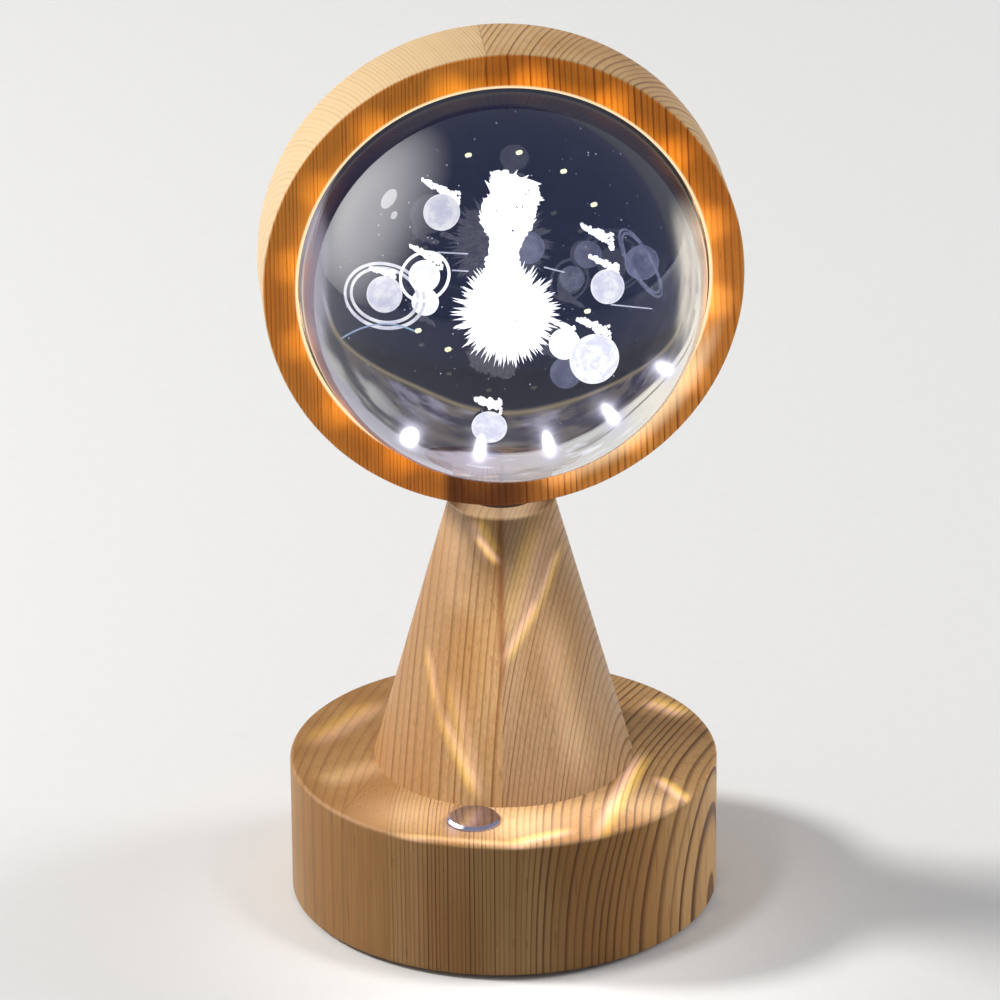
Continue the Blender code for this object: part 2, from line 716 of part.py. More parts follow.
def battery():
    near_x = BOARD_WIDTH / 2 + CELL_TO_BOARD
    far_x = cavity_radius - CELL_TO_WALL
    width = far_x - near_x
    post_side = post_centre * math.sin(math.radians(POST_ANGLES[0])) - POST_DIAMETER / 2
    half_length = post_side - CELL_TO_POST
    tape_bottom = cover_top + GAP
    cell_bottom = tape_bottom + TAPE_THICKNESS + GAP
    middle_x = (near_x + far_x) / 2
    cell = box_mesh("battery_cell", width, 2 * half_length, CELL_THICKNESS, CELL_EDGE, "Y")
    add_object("battery_cell", cell, CELL_FOIL, location=(middle_x, 0, cell_bottom + CELL_THICKNESS / 2))
    tape_width = width - 2 * TAPE_MARGIN
    tape_length = 2 * (half_length - TAPE_MARGIN)
    tape = box_mesh("battery_tape", tape_width, tape_length, TAPE_THICKNESS)
    add_object("battery_tape", tape, TAPE_WHITE, location=(middle_x, 0, tape_bottom + TAPE_THICKNESS / 2))
    battery_leads(-half_length - GAP)


def battery_leads(start_y):
    """Two wires that leave the cell's front end and turn in over the board's edge."""
    height = board_top + GAP + lead_radius
    end_x = BOARD_WIDTH / 2 - CELL_LEAD_ON_BOARD
    leads = {"battery_lead_negative": BLACK_LEAD, "battery_lead_positive": RED_LEAD}
    for index, (name, material) in enumerate(leads.items()):
        out_x = BOARD_WIDTH / 2 + CELL_LEAD_FROM_BOARD + index * CELL_LEAD_PITCH
        turn_y = start_y - CELL_LEAD_RUN - index * CELL_LEAD_PITCH
        bend = arc((out_x - CELL_LEAD_BEND, turn_y), CELL_LEAD_BEND, 0, -QUARTER_TURN)
        path = [(out_x, start_y), *bend, (end_x, turn_y - CELL_LEAD_BEND)]
        wire(name, [(x, y, height) for x, y in path], LEAD_DIAMETER, material)


def bottom_cover():
    recess_radius = pad_radius + GAP
    outline = [
        (0, COVER_THICKNESS),
        (cover_radius, COVER_THICKNESS),
        (cover_radius, 0),
        (recess_radius, 0),
        (recess_radius, PAD_RECESS),
        (0, PAD_RECESS),
    ]
    cover = turned("bottom_cover", outline, BLACK_PLASTIC, LARGE_STEPS, closed=False)
    cover.location = (0, 0, wood_bottom)
    standoff_bottom = cover_top - (COVER_THICKNESS - PAD_RECESS) / 2
    for number, (x, y) in enumerate(standoff_places(), start=1):
        name = f"cover_standoff_{number}"
        mesh = rod_mesh(name, STANDOFF_DIAMETER / 2, cover_top + BOARD_STANDOFF - standoff_bottom)
        combine(cover, as_cutter(name, mesh, location=(x, y, standoff_bottom)), "UNION")
        hole_bottom = cover_top + BOARD_STANDOFF - BOARD_SCREW_BITE - GAP
        drill(cover, f"standoff_hole_{number}", screw_hole_radius, hole_bottom, board_bottom + OVERRUN, x, y)
    for number, (x, y) in enumerate(post_places(), start=1):
        seat_top = cover_underside + SCREW_HEAD_THICKNESS + GAP
        drill(cover, f"cover_screw_hole_{number}", screw_hole_radius, wood_bottom, cover_top + OVERRUN, x, y)
        drill(cover, f"cover_head_seat_{number}", screw_head_radius + GAP, wood_bottom, seat_top, x, y)
        screw = turned(f"cover_screw_{number}", screw_outline(COVER_SCREW_BITE), STEEL, closed=False)
        screw.location = (x, y, cover_underside)


def foot_pad():
    mesh = rod_mesh("foot_pad", pad_radius, PAD_THICKNESS, LARGE_STEPS)
    add_object("foot_pad", mesh, FOAM)


def build():
    head = head_frame()
    head_ring(head)
    crystal_ball(head)
    ball_seat(head)
    light_strip(head)
    strip_leads(head)
    stem_tube()
    washer("swivel_washer", SWIVEL_WASHER_DIAMETER, SWIVEL_WASHER_THICKNESS, swivel_washer_bottom, NYLON)
    washer("stem_washer", STEM_WASHER_DIAMETER, STEM_WASHER_THICKNESS, stem_washer_bottom, STEEL)
    washer("spring_washer", SPRING_WASHER_DIAMETER, SPRING_WASHER_THICKNESS, spring_washer_bottom, STEEL)
    stem_nut()
    cone_stem()
    cone_dowels()
    base_body()
    touch_disc()
    touch_spring()
    control_board()
    board_components()
    charging_port()
    battery()
    bottom_cover()
    foot_pad()


build()
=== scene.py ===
"""Looks of the crystal-ball night light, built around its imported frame.

A turned wooden ring holds a lit, engraved crystal ball on a cone stem over a round base. Every piece
is placed by the frame's own boxes and rides on the frame's bodies. Lengths are in metres.
"""

from __future__ import annotations

import json
import logging
import math
import random
from collections.abc import Sequence
from dataclasses import dataclass
from enum import Enum
from functools import cache

import bmesh
import bpy
from mathutils import Matrix, Vector


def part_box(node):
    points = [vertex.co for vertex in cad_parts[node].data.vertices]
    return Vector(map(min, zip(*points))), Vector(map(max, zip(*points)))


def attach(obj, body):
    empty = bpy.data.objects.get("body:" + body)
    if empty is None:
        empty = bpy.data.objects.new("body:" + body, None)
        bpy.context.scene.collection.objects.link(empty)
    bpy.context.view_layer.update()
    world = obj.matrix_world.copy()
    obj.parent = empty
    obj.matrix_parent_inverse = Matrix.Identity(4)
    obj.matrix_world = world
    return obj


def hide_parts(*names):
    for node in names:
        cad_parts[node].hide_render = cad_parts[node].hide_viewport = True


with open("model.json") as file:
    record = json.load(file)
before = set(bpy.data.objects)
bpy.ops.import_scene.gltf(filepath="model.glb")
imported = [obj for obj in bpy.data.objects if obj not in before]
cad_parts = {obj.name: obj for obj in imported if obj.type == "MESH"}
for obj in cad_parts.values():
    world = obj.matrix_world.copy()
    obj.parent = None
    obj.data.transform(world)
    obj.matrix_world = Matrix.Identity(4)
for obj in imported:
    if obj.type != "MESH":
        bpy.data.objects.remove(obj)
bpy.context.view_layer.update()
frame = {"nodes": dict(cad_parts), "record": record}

logging.basicConfig(level=logging.INFO, format="%(message)s")
LOG = logging.getLogger("night_light")

Point = tuple[float, float]
Triple = tuple[float, float, float]
Socket = bpy.types.NodeSocket
Inputs = bpy.types.NodeInputs
Material = bpy.types.Material
Mesh = bpy.types.Mesh
Object = bpy.types.Object
BMesh = bmesh.types.BMesh

HEAD_YAW = math.radians(15.9)
LED_COUNT = 16
LED_FIRST = math.radians(187.5)
RING_FRONT = 0.0094
RING_BORE = 0.0403
BOLT_BORE = 0.00305
GAP = 0.0003
OVERSHOOT = 0.003
FINE_STEPS = 256
CUTTER_STEPS = 96
SHARP_ANGLE = math.radians(32)
TINY = 1e-7
QUARTERS = ((1, 1), (-1, 1), (-1, -1), (1, -1))
ONES = (1.0, 1.0, 1.0)
ZERO = (0.0, 0.0, 0.0)


class Body(Enum):
    """The two moving bodies of the frame."""

    BASE = "base"
    HEAD = "head"


# Meshes


def make_object(mesh: Mesh, at: Sequence[float] = ZERO) -> Object:
    """Put a mesh into the scene, as an object of the same name.

    Args:
        mesh: The mesh.
        at: Where its origin goes.

    Returns:
        The new object.
    """
    piece = bpy.data.objects.new(mesh.name, mesh)
    bpy.context.scene.collection.objects.link(piece)
    piece.matrix_world = Matrix.Translation(at)
    return piece


def mesh_of(name: str, verts: Sequence[Triple], faces: Sequence[Sequence[int]]) -> Mesh:
    """Make a smooth-shaded mesh whose faces point outwards.

    Args:
        name: Name of the mesh.
        verts: Its points.
        faces: Its faces, as point numbers.

    Returns:
        The mesh.
    """
    mesh = bpy.data.meshes.new(name)
    mesh.from_pydata(verts, [], faces)
    bm = bmesh.new()
    bm.from_mesh(mesh)
    bmesh.ops.recalc_face_normals(bm, faces=bm.faces)
    bm.to_mesh(mesh)
    bm.free()
    mesh.shade_smooth()
    mesh.set_sharp_from_angle(angle=SHARP_ANGLE)
    return mesh


def lathe(name: str, outline: Sequence[Point], steps: int = FINE_STEPS, closed: bool = True) -> Mesh:
    """Turn an outline about the Z axis.

    Args:
        name: Name of the mesh.
        outline: Points as (radius, height).
        steps: Number of facets round the axis.
        closed: Whether the outline's last point joins its first.

    Returns:
        The turned mesh.
    """
    verts: list[Triple] = []
    rings: list[list[int]] = []
    for radius, height in outline:
        if radius < TINY:
            rings.append([len(verts)] * steps)
            verts.append((0.0, 0.0, height))
            continue
        rings.append(list(range(len(verts), len(verts) + steps)))
        turns = [math.tau * k / steps for k in range(steps)]
        verts += [(radius * math.cos(a), radius * math.sin(a), height) for a in turns]
    faces = []
    for low, high in zip(rings, rings[1:] + rings[:1] if closed else rings[1:]):
        for k in range(steps):
            after = (k + 1) % steps
            faces.append(tuple(dict.fromkeys((low[k], low[after], high[after], high[k]))))
    return mesh_of(name, verts, faces)


def rounded(centre: Point, radius: float, start: float, end: float, steps: int = 6) -> list[Point]:
    """Points on an arc, from start to end degrees."""
    angles = [math.radians(start + (end - start) * k / steps) for k in range(steps + 1)]
    return [(centre[0] + radius * math.cos(a), centre[1] + radius * math.sin(a)) for a in angles]


def cylinder(radius: float, bottom: float, top: float, y: float = 0.0) -> Object:
    """An upright round cutter."""
    outline = [(0.0, bottom), (radius, bottom), (radius, top), (0.0, top)]
    return make_object(lathe("cutter", outline, CUTTER_STEPS, closed=False), (0.0, y, 0.0))


def soft_box(width: float, height: float, corner: float, steps: int = 8) -> list[Point]:
    """Find the outline of a corner-rounded rectangle about its centre, anticlockwise.

    Args:
        width: Its width.
        height: Its height.
        corner: Radius of its corners.
        steps: Facets of each corner.

    Returns:
        The outline.
    """
    outline: list[Point] = []
    for number, (sx, sy) in enumerate(QUARTERS):
        middle = (sx * (width / 2 - corner), sy * (height / 2 - corner))
        outline += rounded(middle, corner, 90 * number, 90 * number + 90, steps)
    return outline


def extrusion(
    name: str, outer: Sequence[Point], front: float, back: float, inner: Sequence[Point] = ()
) -> Mesh:
    """Make a closed bar along Y, or a tube where it has an inner outline.

    Args:
        name: Name of the mesh.
        outer: Its outline, as (x, z).
        front: Where it starts along Y.
        back: Where it ends.
        inner: Outline of its opening, with as many points.

    Returns:
        The mesh.
    """
    count = len(outer)
    loops = [(outer, front), (outer, back)]
    if inner:
        loops += [(inner, back), (inner, front)]
        faces = []
    else:
        faces = [tuple(range(count)), tuple(range(2 * count - 1, count - 1, -1))]
    for number in range(len(loops) if inner else 1):
        low, high = number * count, (number + 1) % len(loops) * count
        faces += [(low + k, low + (k + 1) % count, high + (k + 1) % count, high + k) for k in range(count)]
    return mesh_of(name, [(x, y, z) for outline, y in loops for x, z in outline], faces)


def carve(piece: Object, cutters: Sequence[Object]) -> Object:
    """Cut each cutter out of a piece and remove the cutters.

    Args:
        piece: The piece that is cut.
        cutters: What is cut out of it.

    Returns:
        The same piece, with its final mesh.
    """
    for cutter in cutters:
        modifier = piece.modifiers.new("cut", "BOOLEAN")
        modifier.object = cutter
        modifier.solver = "EXACT"
    bpy.context.view_layer.update()
    evaluated = piece.evaluated_get(bpy.context.evaluated_depsgraph_get())
    mesh = bpy.data.meshes.new_from_object(evaluated)
    piece.modifiers.clear()
    piece.data = mesh
    for cutter in cutters:
        bpy.data.objects.remove(cutter, do_unlink=True)
    return piece


@cache
def material_of(slot: str) -> Material:
    """The material of a slot, made on first use."""
    return SLOT_FINISHES[slot].build()


def dress(
    piece: Object,
    body: Body,
    slot: str,
    replaces: Sequence[str] = (),
    material: Material | None = None,
) -> None:
    """Give a piece its finish and its body.

    Args:
        piece: The new piece, in place.
        body: The body that it moves with.
        slot: The record's material slot.
        replaces: Frame nodes that it stands for.
        material: Its material; the slot's own where left out.
    """
    piece.data.materials.clear()
    piece.data.materials.append(material or material_of(slot))
    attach(piece, body.value)
    if replaces:
        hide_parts(*replaces)
    LOG.info("%s rides on %s", piece.name, body.value)


# Node trees


class Signal:
    """A node's output, whose arithmetic adds the nodes that it takes."""

    def __init__(self, nodes: Tree, socket: Socket) -> None:
        """Keep the output and the tree that it is in."""
        self.nodes = nodes
        self.socket = socket

    def through(self, operation: str, other: Value) -> Signal:
        """Join with another value by a Math node, or a Vector Math node for a vector or colour."""
        make = self.nodes.math if self.socket.type == "VALUE" else self.nodes.vec
        return make(operation, self, other)

    def __add__(self, other: Value) -> Signal:
        """The sum."""
        return self.through("ADD", other)

    def __sub__(self, other: Value) -> Signal:
        """The difference."""
        return self.through("SUBTRACT", other)

    def __truediv__(self, other: Value) -> Signal:
        """The quotient."""
        return self.through("DIVIDE", other)

    def __mul__(self, other: Value) -> Signal:
        """The product; a number scales a vector or colour."""
        number = other.socket.type == "VALUE" if isinstance(other, Signal) else not isinstance(other, tuple)
        if number and self.socket.type != "VALUE":
            return self.nodes.scaled(self, other)
        return self.through("MULTIPLY", other)

    def __abs__(self) -> Signal:
        """The size, without its sign."""
        return self.nodes.math("ABSOLUTE", self)

    def at_least(self, other: Value) -> Signal:
        """The greater of two values."""
        return self.through("MAXIMUM", other)

    def ramp(self, low: Value, high: Value, start: Value = 0.0, end: Value = 1.0) -> Signal:
        """Map smoothly from low..high to start..end."""
        inputs = {"Value": self, "From Min": low, "From Max": high, "To Min": start, "To Max": end}
        return self.nodes.add("MapRange", inputs, "Result", interpolation_type="SMOOTHSTEP")

    def fade(self, start: Value, end: Value) -> Signal:
        """Map smoothly from 0..1 to start..end."""
        return self.ramp(0.0, 1.0, start, end)


Key = str | int
Value = Signal | float | Triple
Values = dict[Key, Value]


class Tree:
    """Adds nodes to one node tree and links them."""

    def __init__(self, tree: bpy.types.NodeTree) -> None:
        """Keep the tree that nodes go to."""
        self.tree = tree

    def plug(self, socket: Socket, value: Value) -> None:
        """Link an output to a socket, or set the socket's own value.

        Args:
            socket: The socket.
            value: What it takes; a colour without its alpha.
        """
        if isinstance(value, Signal):
            self.tree.links.new(value.socket, socket)
        elif isinstance(value, tuple) and socket.type == "RGBA":
            socket.default_value = (*value, 1.0)
        else:
            socket.default_value = value

    def add(self, kind: str, inputs: Values | None = None, output: Key = 0, **settings: object) -> Signal:
        """Add one node.

        Args:
            kind: Node type, without its ShaderNode prefix.
            inputs: Values or outputs by socket name or number.
            output: Name or number of the output that is wanted.
            settings: Properties of the node.

        Returns:
            The node's output.
        """
        node = self.tree.nodes.new("ShaderNode" + kind)
        for name, value in settings.items():
            setattr(node, name, value)
        for key, value in (inputs or {}).items():
            self.plug(node.inputs[key], value)
        return Signal(self, node.outputs[output])

    def math(self, operation: str, *values: Value, clamp: bool = False) -> Signal:
        """A Math node."""
        return self.add("Math", dict(enumerate(values)), operation=operation, use_clamp=clamp)

    def vec(self, operation: str, *values: Value, output: str = "Vector") -> Signal:
        """A Vector Math node."""
        return self.add("VectorMath", dict(enumerate(values)), output, operation=operation)

    def scaled(self, vector: Value, factor: Value) -> Signal:
        """A vector or colour times a number."""
        return self.add("VectorMath", {0: vector, "Scale": factor}, operation="SCALE")

    def measure(self, operation: str, *values: Value) -> Signal:
        """A Vector Math node's number."""
        return self.vec(operation, *values, output="Value")

    def axes(self, vector: Value) -> tuple[Signal, ...]:
        """A vector's X, Y and Z."""
        return tuple(self.add("SeparateXYZ", {0: vector}, axis) for axis in "XYZ")

    def mix(self, factor: Value, first: Value, second: Value, blend: str = "MIX") -> Signal:
        """Blend two colours."""
        inputs = {"Factor": factor, 6: first, 7: second}
        return self.add("Mix", inputs, 2, data_type="RGBA", blend_type=blend)

    def paint(self, base: Value, *coats: tuple[Value, Value]) -> Value:
        """Lay colours over a base, each as (mask, colour)."""
        for mask, colour in coats:
            base = self.mix(mask, base, colour)
        return base

    def noise(self, at: Value, scale: Value, detail: float = 2.0, rough: float = 0.5, out: Key = 0) -> Signal:
        """A 3-D noise texture."""
        inputs = {"Vector": at, "Scale": scale, "Detail": detail, "Roughness": rough}
        return self.add("TexNoise", inputs, out)

    def place(self) -> Signal:
        """The object's own coordinates."""
        return self.add("TexCoord", output="Object")

    def group(self, effect: type[Effect], **inputs: Value) -> dict[str, Signal]:
        """Place a node group.

        Args:
            effect: The group.
            inputs: Its inputs by name, with underscores for blanks.

        Returns:
            Its outputs by name.
        """
        node = self.tree.nodes.new("ShaderNodeGroup")
        node.node_tree = effect.tree()
        for name, value in inputs.items():
            self.plug(node.inputs[name.replace("_", " ").title()], value)
        return {socket.name: Signal(self, socket) for socket in node.outputs}


class Effect:
    """A shader node group, with the names of its inputs and outputs by their kind."""

    name = "effect"
    takes: dict[str, tuple[str, ...]] = {}
    gives: dict[str, tuple[str, ...]] = {}

    @classmethod
    @cache
    def tree(cls) -> bpy.types.NodeTree:
        """Build the group on first use.

        Returns:
            The group's tree.
        """
        made = bpy.data.node_groups.new(cls.name, "ShaderNodeTree")
        for side, sockets in (("INPUT", cls.takes), ("OUTPUT", cls.gives)):
            for kind, titles in sockets.items():
                for title in titles:
                    made.interface.new_socket(name=title, in_out=side, socket_type="NodeSocket" + kind)
        nodes = Tree(made)
        given = {socket.name: Signal(nodes, socket) for socket in made.nodes.new("NodeGroupInput").outputs}
        taken = made.nodes.new("NodeGroupOutput").inputs
        for title, value in cls.wire(nodes, given).items():
            nodes.plug(taken[title], value)
        return made

    @classmethod
    def wire(cls, nodes: Tree, given: dict[str, Signal]) -> dict[str, Signal]:
        """Make the group's nodes.

        Args:
            nodes: The group's tree.
            given: Its inputs by name.

        Returns:
            What each output shows.
        """
        raise NotImplementedError


class PineGrain(Effect):
    """Growth rings, fibres and flecks of a turned pine piece."""

    name = "Pine Grain"
    takes = {
        "Vector": ("Vector", "Pith", "Lean"),
        "Color": ("Early", "Late", "Blush"),
        "Float": (
            *("Ring Width", "Outer Width", "Growth", "Reach"),
            *("Taper", "Plain Beyond", "Waver", "Contrast"),
        ),
    }
    gives = {"Color": ("Color",), "Float": ("Roughness", "Height")}

    @classmethod
    def wire(cls, nodes: Tree, given: dict[str, Signal]) -> dict[str, Signal]:
        """Cut tapering sleeves of growth through the piece and draw fibres along them.

        Args:
            nodes: The group's tree.
            given: Its inputs by name.

        Returns:
            What each output shows.
        """
        turn = {"Vector": given["Vector"] - given["Pith"], "Rotation": given["Lean"]}
        turned = nodes.add("VectorRotate", turn, rotation_type="EULER_XYZ")
        along = turned * (1.0, 1.0, 0.30)
        drift = nodes.noise(along, 24.0, 2.0, 0.45, "Color") - (0.5, 0.5, 0.5)
        place = turned + drift * given["Waver"]
        distance = nodes.measure("LENGTH", place * (1.0, 1.0, 0.0))
        near = nodes.math("MINIMUM", (given["Reach"] - distance).at_least(0.0), 0.020)
        rise = nodes.axes(place)[2]
        distance = distance + rise * rise * near * given["Taper"]
        past = distance - given["Reach"]
        grown = (past * -1.0).at_least(0.0) / given["Ring Width"] * given["Growth"]
        inner = nodes.math("LOGARITHM", grown + 1.0, math.e) / (given["Growth"] * -1.0)
        outer = past.at_least(0.0) / given["Outer Width"]
        uneven = nodes.add("TexNoise", {"W": distance, "Scale": 120.0, "Detail": 1.0}, noise_dimensions="1D")
        phase = inner + outer + (uneven * 1.3 + 100.0)
        share = nodes.math("FRACT", phase)
        lot = nodes.add("TexWhiteNoise", {"W": nodes.math("FLOOR", phase)}, "Value", noise_dimensions="1D")
        late = nodes.math("POWER", share.ramp(0.30, 0.90), 2.6) * share.ramp(1.0, 0.93) * lot.fade(0.40, 1.0)
        plain = distance.ramp(given["Plain Beyond"], given["Plain Beyond"] + 0.003)
        strands = place * (1.0, 1.0, 0.018)
        fibre = nodes.noise(strands, 2600.0, 3.0, 0.62)
        strip = nodes.noise(strands, 420.0)
        patch = nodes.noise(along, 38.0)
        fleck = nodes.noise(place * (1.0, 1.0, 0.10), 1500.0, 0.0)
        body = nodes.paint(
            given["Early"],
            (patch.ramp(0.46, 0.66), given["Blush"]),
            (strip.ramp(0.5, 0.72) * 0.45, given["Blush"]),
            (plain * 0.75, given["Blush"]),
        )
        dark = nodes.math("MULTIPLY", late * plain.fade(1.0, 0.12), given["Contrast"], clamp=True)
        wood = nodes.paint(
            body * grown.ramp(0.7, 1.4, 1.0, 1.35),
            (dark, given["Late"]),
            (fleck.ramp(0.74, 0.80, 0.0, 0.35), given["Late"]),
        )
        return {
            "Color": wood * fibre.ramp(0.25, 0.75, 0.88, 1.10),
            "Roughness": fibre.ramp(0.3, 0.7, 0.42, 0.55) - late * 0.08,
            "Height": late * 0.35 + fibre * 0.5,
        }


class FineMottle(Effect):
    """Faint unevenness of moulded, plated and sprayed surfaces."""

    name = "Fine Mottle"
    takes = {"Vector": ("Vector",), "Float": ("Scale", "Smooth", "Rough"), "Color": ("Light", "Dark")}
    gives = {"Color": ("Color",), "Float": ("Roughness", "Height")}

    @classmethod
    def wire(cls, nodes: Tree, given: dict[str, Signal]) -> dict[str, Signal]:
        """Mix two colours and two roughnesses by a fine and a broad noise.

        Args:
            nodes: The group's tree.
            given: Its inputs by name.

        Returns:
            What each output shows.
        """
        fine = nodes.noise(given["Vector"], given["Scale"], 4.0, 0.6)
        broad = nodes.noise(given["Vector"], given["Scale"] * 0.07)
        blend = (fine + broad).ramp(0.7, 1.3)
        colour = nodes.mix(blend, given["Light"], given["Dark"])
        return {"Color": colour, "Roughness": blend.fade(given["Smooth"], given["Rough"]), "Height": fine}


class LedLobes(Effect):
    """How near a point lies to the direction of one of the LEDs, round the local Y axis."""

    name = "Led Lobes"
    takes = {"Vector": ("Vector",), "Float": ("Sharpness",)}
    gives = {"Float": ("Lobe", "Radius")}

    @classmethod
    def wire(cls, nodes: Tree, given: dict[str, Signal]) -> dict[str, Signal]:
        """Measure the clock angle and the distance from the axis.

        Args:
            nodes: The group's tree.
            given: Its inputs by name.

        Returns:
            What each output shows.
        """
        across, _, above = nodes.axes(given["Vector"])
        angle = nodes.math("ARCTAN2", across, above) - LED_FIRST
        swing = nodes.math("COSINE", angle * float(LED_COUNT))
        lobe = nodes.math("POWER", swing * 0.5 + 0.5, given["Sharpness"])
        return {"Lobe": lobe, "Radius": nodes.measure("LENGTH", given["Vector"] * (1.0, 0.0, 1.0))}


class LightStreak(Effect):
    """A streak of light that the crystal throws on wood, split into warm and pink edges."""

    name = "Light Streak"
    takes = {"Vector": ("Point", "Start", "End"), "Float": ("Width", "Gain", "Split")}
    gives = {"Color": ("Color",)}

    @classmethod
    def wire(cls, nodes: Tree, given: dict[str, Signal]) -> dict[str, Signal]:
        """Fade out from a line between two points, with one colour on each side.

        Args:
            nodes: The group's tree.
            given: Its inputs by name.

        Returns:
            What each output shows.
        """
        along, offset = given["End"] - given["Start"], given["Point"] - given["Start"]
        span = nodes.measure("DOT_PRODUCT", along, along)
        share = nodes.math("DIVIDE", nodes.measure("DOT_PRODUCT", offset, along), span, clamp=True)
        away = nodes.measure("DISTANCE", offset, along * share)
        side = nodes.axes(nodes.vec("CROSS_PRODUCT", along, offset))[2]
        across = side / (nodes.math("SQRT", span) * given["Width"])
        colour = nodes.mix(across.ramp(-0.5, 0.5), (1.0, 0.74, 0.72), (1.0, 0.76, 0.12))
        colour = nodes.mix(given["Split"], (1.0, 0.84, 0.66), colour)
        ends = abs(share - 0.5).ramp(0.5, 0.2)
        return {"Color": colour * (away.ramp(given["Width"], 0.0) * ends * given["Gain"])}


# Finishes


def new_material(name: str) -> tuple[Material, Tree, Inputs]:
    """Start a material.

    Args:
        name: Its name.

    Returns:
        The material, its tree and the inputs of its Principled shader.
    """
    material = bpy.data.materials.new(name)
    material.use_nodes = True
    return material, Tree(material.node_tree), material.node_tree.nodes["Principled BSDF"].inputs


def set_bump(nodes: Tree, shader: Inputs, height: Value, strength: float, depth: float) -> None:
    """Feed a height into the shader's normal."""
    bump = nodes.add("Bump", {"Strength": strength, "Distance": depth, "Height": height})
    nodes.plug(shader["Normal"], bump)


def unlit(material: Material, shader: Inputs, strength: float) -> None:
    """Let a surface glow without being sampled as a lamp."""
    shader["Emission Strength"].default_value = strength
    material.cycles.emission_sampling = "NONE"


@dataclass(frozen=True)
class Board:
    """One board of wood: where its pith lies and how it is coloured.

    Attributes:
        pith: A point on the tree's centre line.
        early: Colour of the soft wood between the lines.
        late: Colour of the lines.
        blush: Colour of the redder patches.
        ring_width: Spacing of the growth rings near the pith.
        outer_width: Their spacing past the reach.
        growth: How much the spacing widens from the reach towards the pith, per length.
        reach: Distance from the pith at which the spacing changes and the taper ends.
        taper: How fast the rings lean, nearer to the pith.
        plain_beyond: Distance from the pith past which the lines fade.
        waver: How far the lines wander.
        contrast: How dark the lines are.
        lean: Tilt of the tree's centre line, as angles.
    """

    pith: Triple
    early: Triple
    late: Triple
    blush: Triple
    ring_width: float = 0.0015
    outer_width: float = 0.0015
    growth: float = 2e-5
    reach: float = 1.0
    taper: float = 0.0
    plain_beyond: float = 1.0
    waver: float = 0.0030
    contrast: float = 0.8
    lean: Triple = ZERO


@dataclass(frozen=True)
class Streak:
    """A streak of thrown light, from start to end on its plane; split is how coloured its edges are."""

    start: Point
    end: Point
    width: float
    gain: float = 1.0
    split: float = 1.0


class Plane(Enum):
    """The two axes, as numbers, that streaks of light are drawn on."""

    FRONT = (0, 2)
    TOP = (0, 1)


@dataclass(frozen=True)
class WoodFinish:
    """Satin-lacquered wood glued up from two boards."""

    name: str
    left: Board
    right: Board
    seam_point: Triple = ZERO
    seam_normal: Triple = (1.0, 0.0, 0.0)
    glue: Triple = (0.16, 0.065, 0.02)
    glue_width: float = 0.00016
    glue_cover: float = 0.5
    glue_from: float = -0.1
    coat: float = 0.05
    plane: Plane = Plane.FRONT
    level: float = 0.0
    streaks: tuple[Streak, ...] = ()

    def build(self) -> Material:
        """Make the material.

        Returns:
            The wood, as a material.
        """
        material, nodes, shader = new_material(self.name)
        place = nodes.place()
        colour = self.wood(nodes, shader, place)
        if self.streaks:
            nodes.plug(shader["Emission Color"], self.thrown_light(nodes, place, colour))
            unlit(material, shader, 0.8)
        return material

    def wood(self, nodes: Tree, shader: Inputs, place: Signal) -> Signal:
        """Feed the shader with the glued-up wood.

        Args:
            nodes: The material's tree.
            shader: Inputs of its shader.
            place: Coordinates of the wood.

        Returns:
            The wood's colour.
        """
        boards = (self.left, self.right)
        first, second = (nodes.group(PineGrain, vector=place, **vars(board)) for board in boards)
        across = nodes.measure("DOT_PRODUCT", place - self.seam_point, self.seam_normal)
        side = across.ramp(-0.00006, 0.00006)
        glue = abs(across).ramp(self.glue_width, 0.0, 0.0, self.glue_cover)
        glue = glue * nodes.axes(place)[2].ramp(self.glue_from, self.glue_from + 0.014)
        colour = nodes.paint(first["Color"], (side, second["Color"]), (glue, self.glue))
        rough, height = (
            nodes.add("Mix", {0: side, 2: first[title], 3: second[title]}, data_type="FLOAT")
            for title in ("Roughness", "Height")
        )
        set_bump(nodes, shader, height, 0.35, 0.00012)
        nodes.plug(shader["Roughness"], rough)
        nodes.plug(shader["Base Color"], colour)
        shader["Specular IOR Level"].default_value = 0.18
        shader["Coat Weight"].default_value = self.coat
        shader["Coat Roughness"].default_value = 0.22
        return colour

    def thrown_light(self, nodes: Tree, place: Signal, colour: Signal) -> Signal:
        """Draw streaks of light from the crystal, as the wood sends them back.

        Args:
            nodes: The material's tree.
            place: Coordinates of the wood.
            colour: The wood's colour.

        Returns:
            The light's colour.
        """
        parts = nodes.axes(place)
        first, second = self.plane.value
        point = nodes.add("CombineXYZ", {0: parts[first], 1: parts[second]})
        total: Value = ZERO
        for streak in self.streaks:
            inputs = dict(vars(streak), start=(*streak.start, 0.0), end=(*streak.end, 0.0))
            total = nodes.group(LightStreak, point=point, **inputs)["Color"] + total
        if self.plane is Plane.FRONT:
            facing = parts[1].ramp(0.001, -0.003)
        else:
            facing = parts[2].ramp(self.level - 0.0012, self.level - 0.0003)
        return nodes.mix(1.0, nodes.scaled(total, facing), nodes.mix(0.40, colour, ONES), "MULTIPLY")


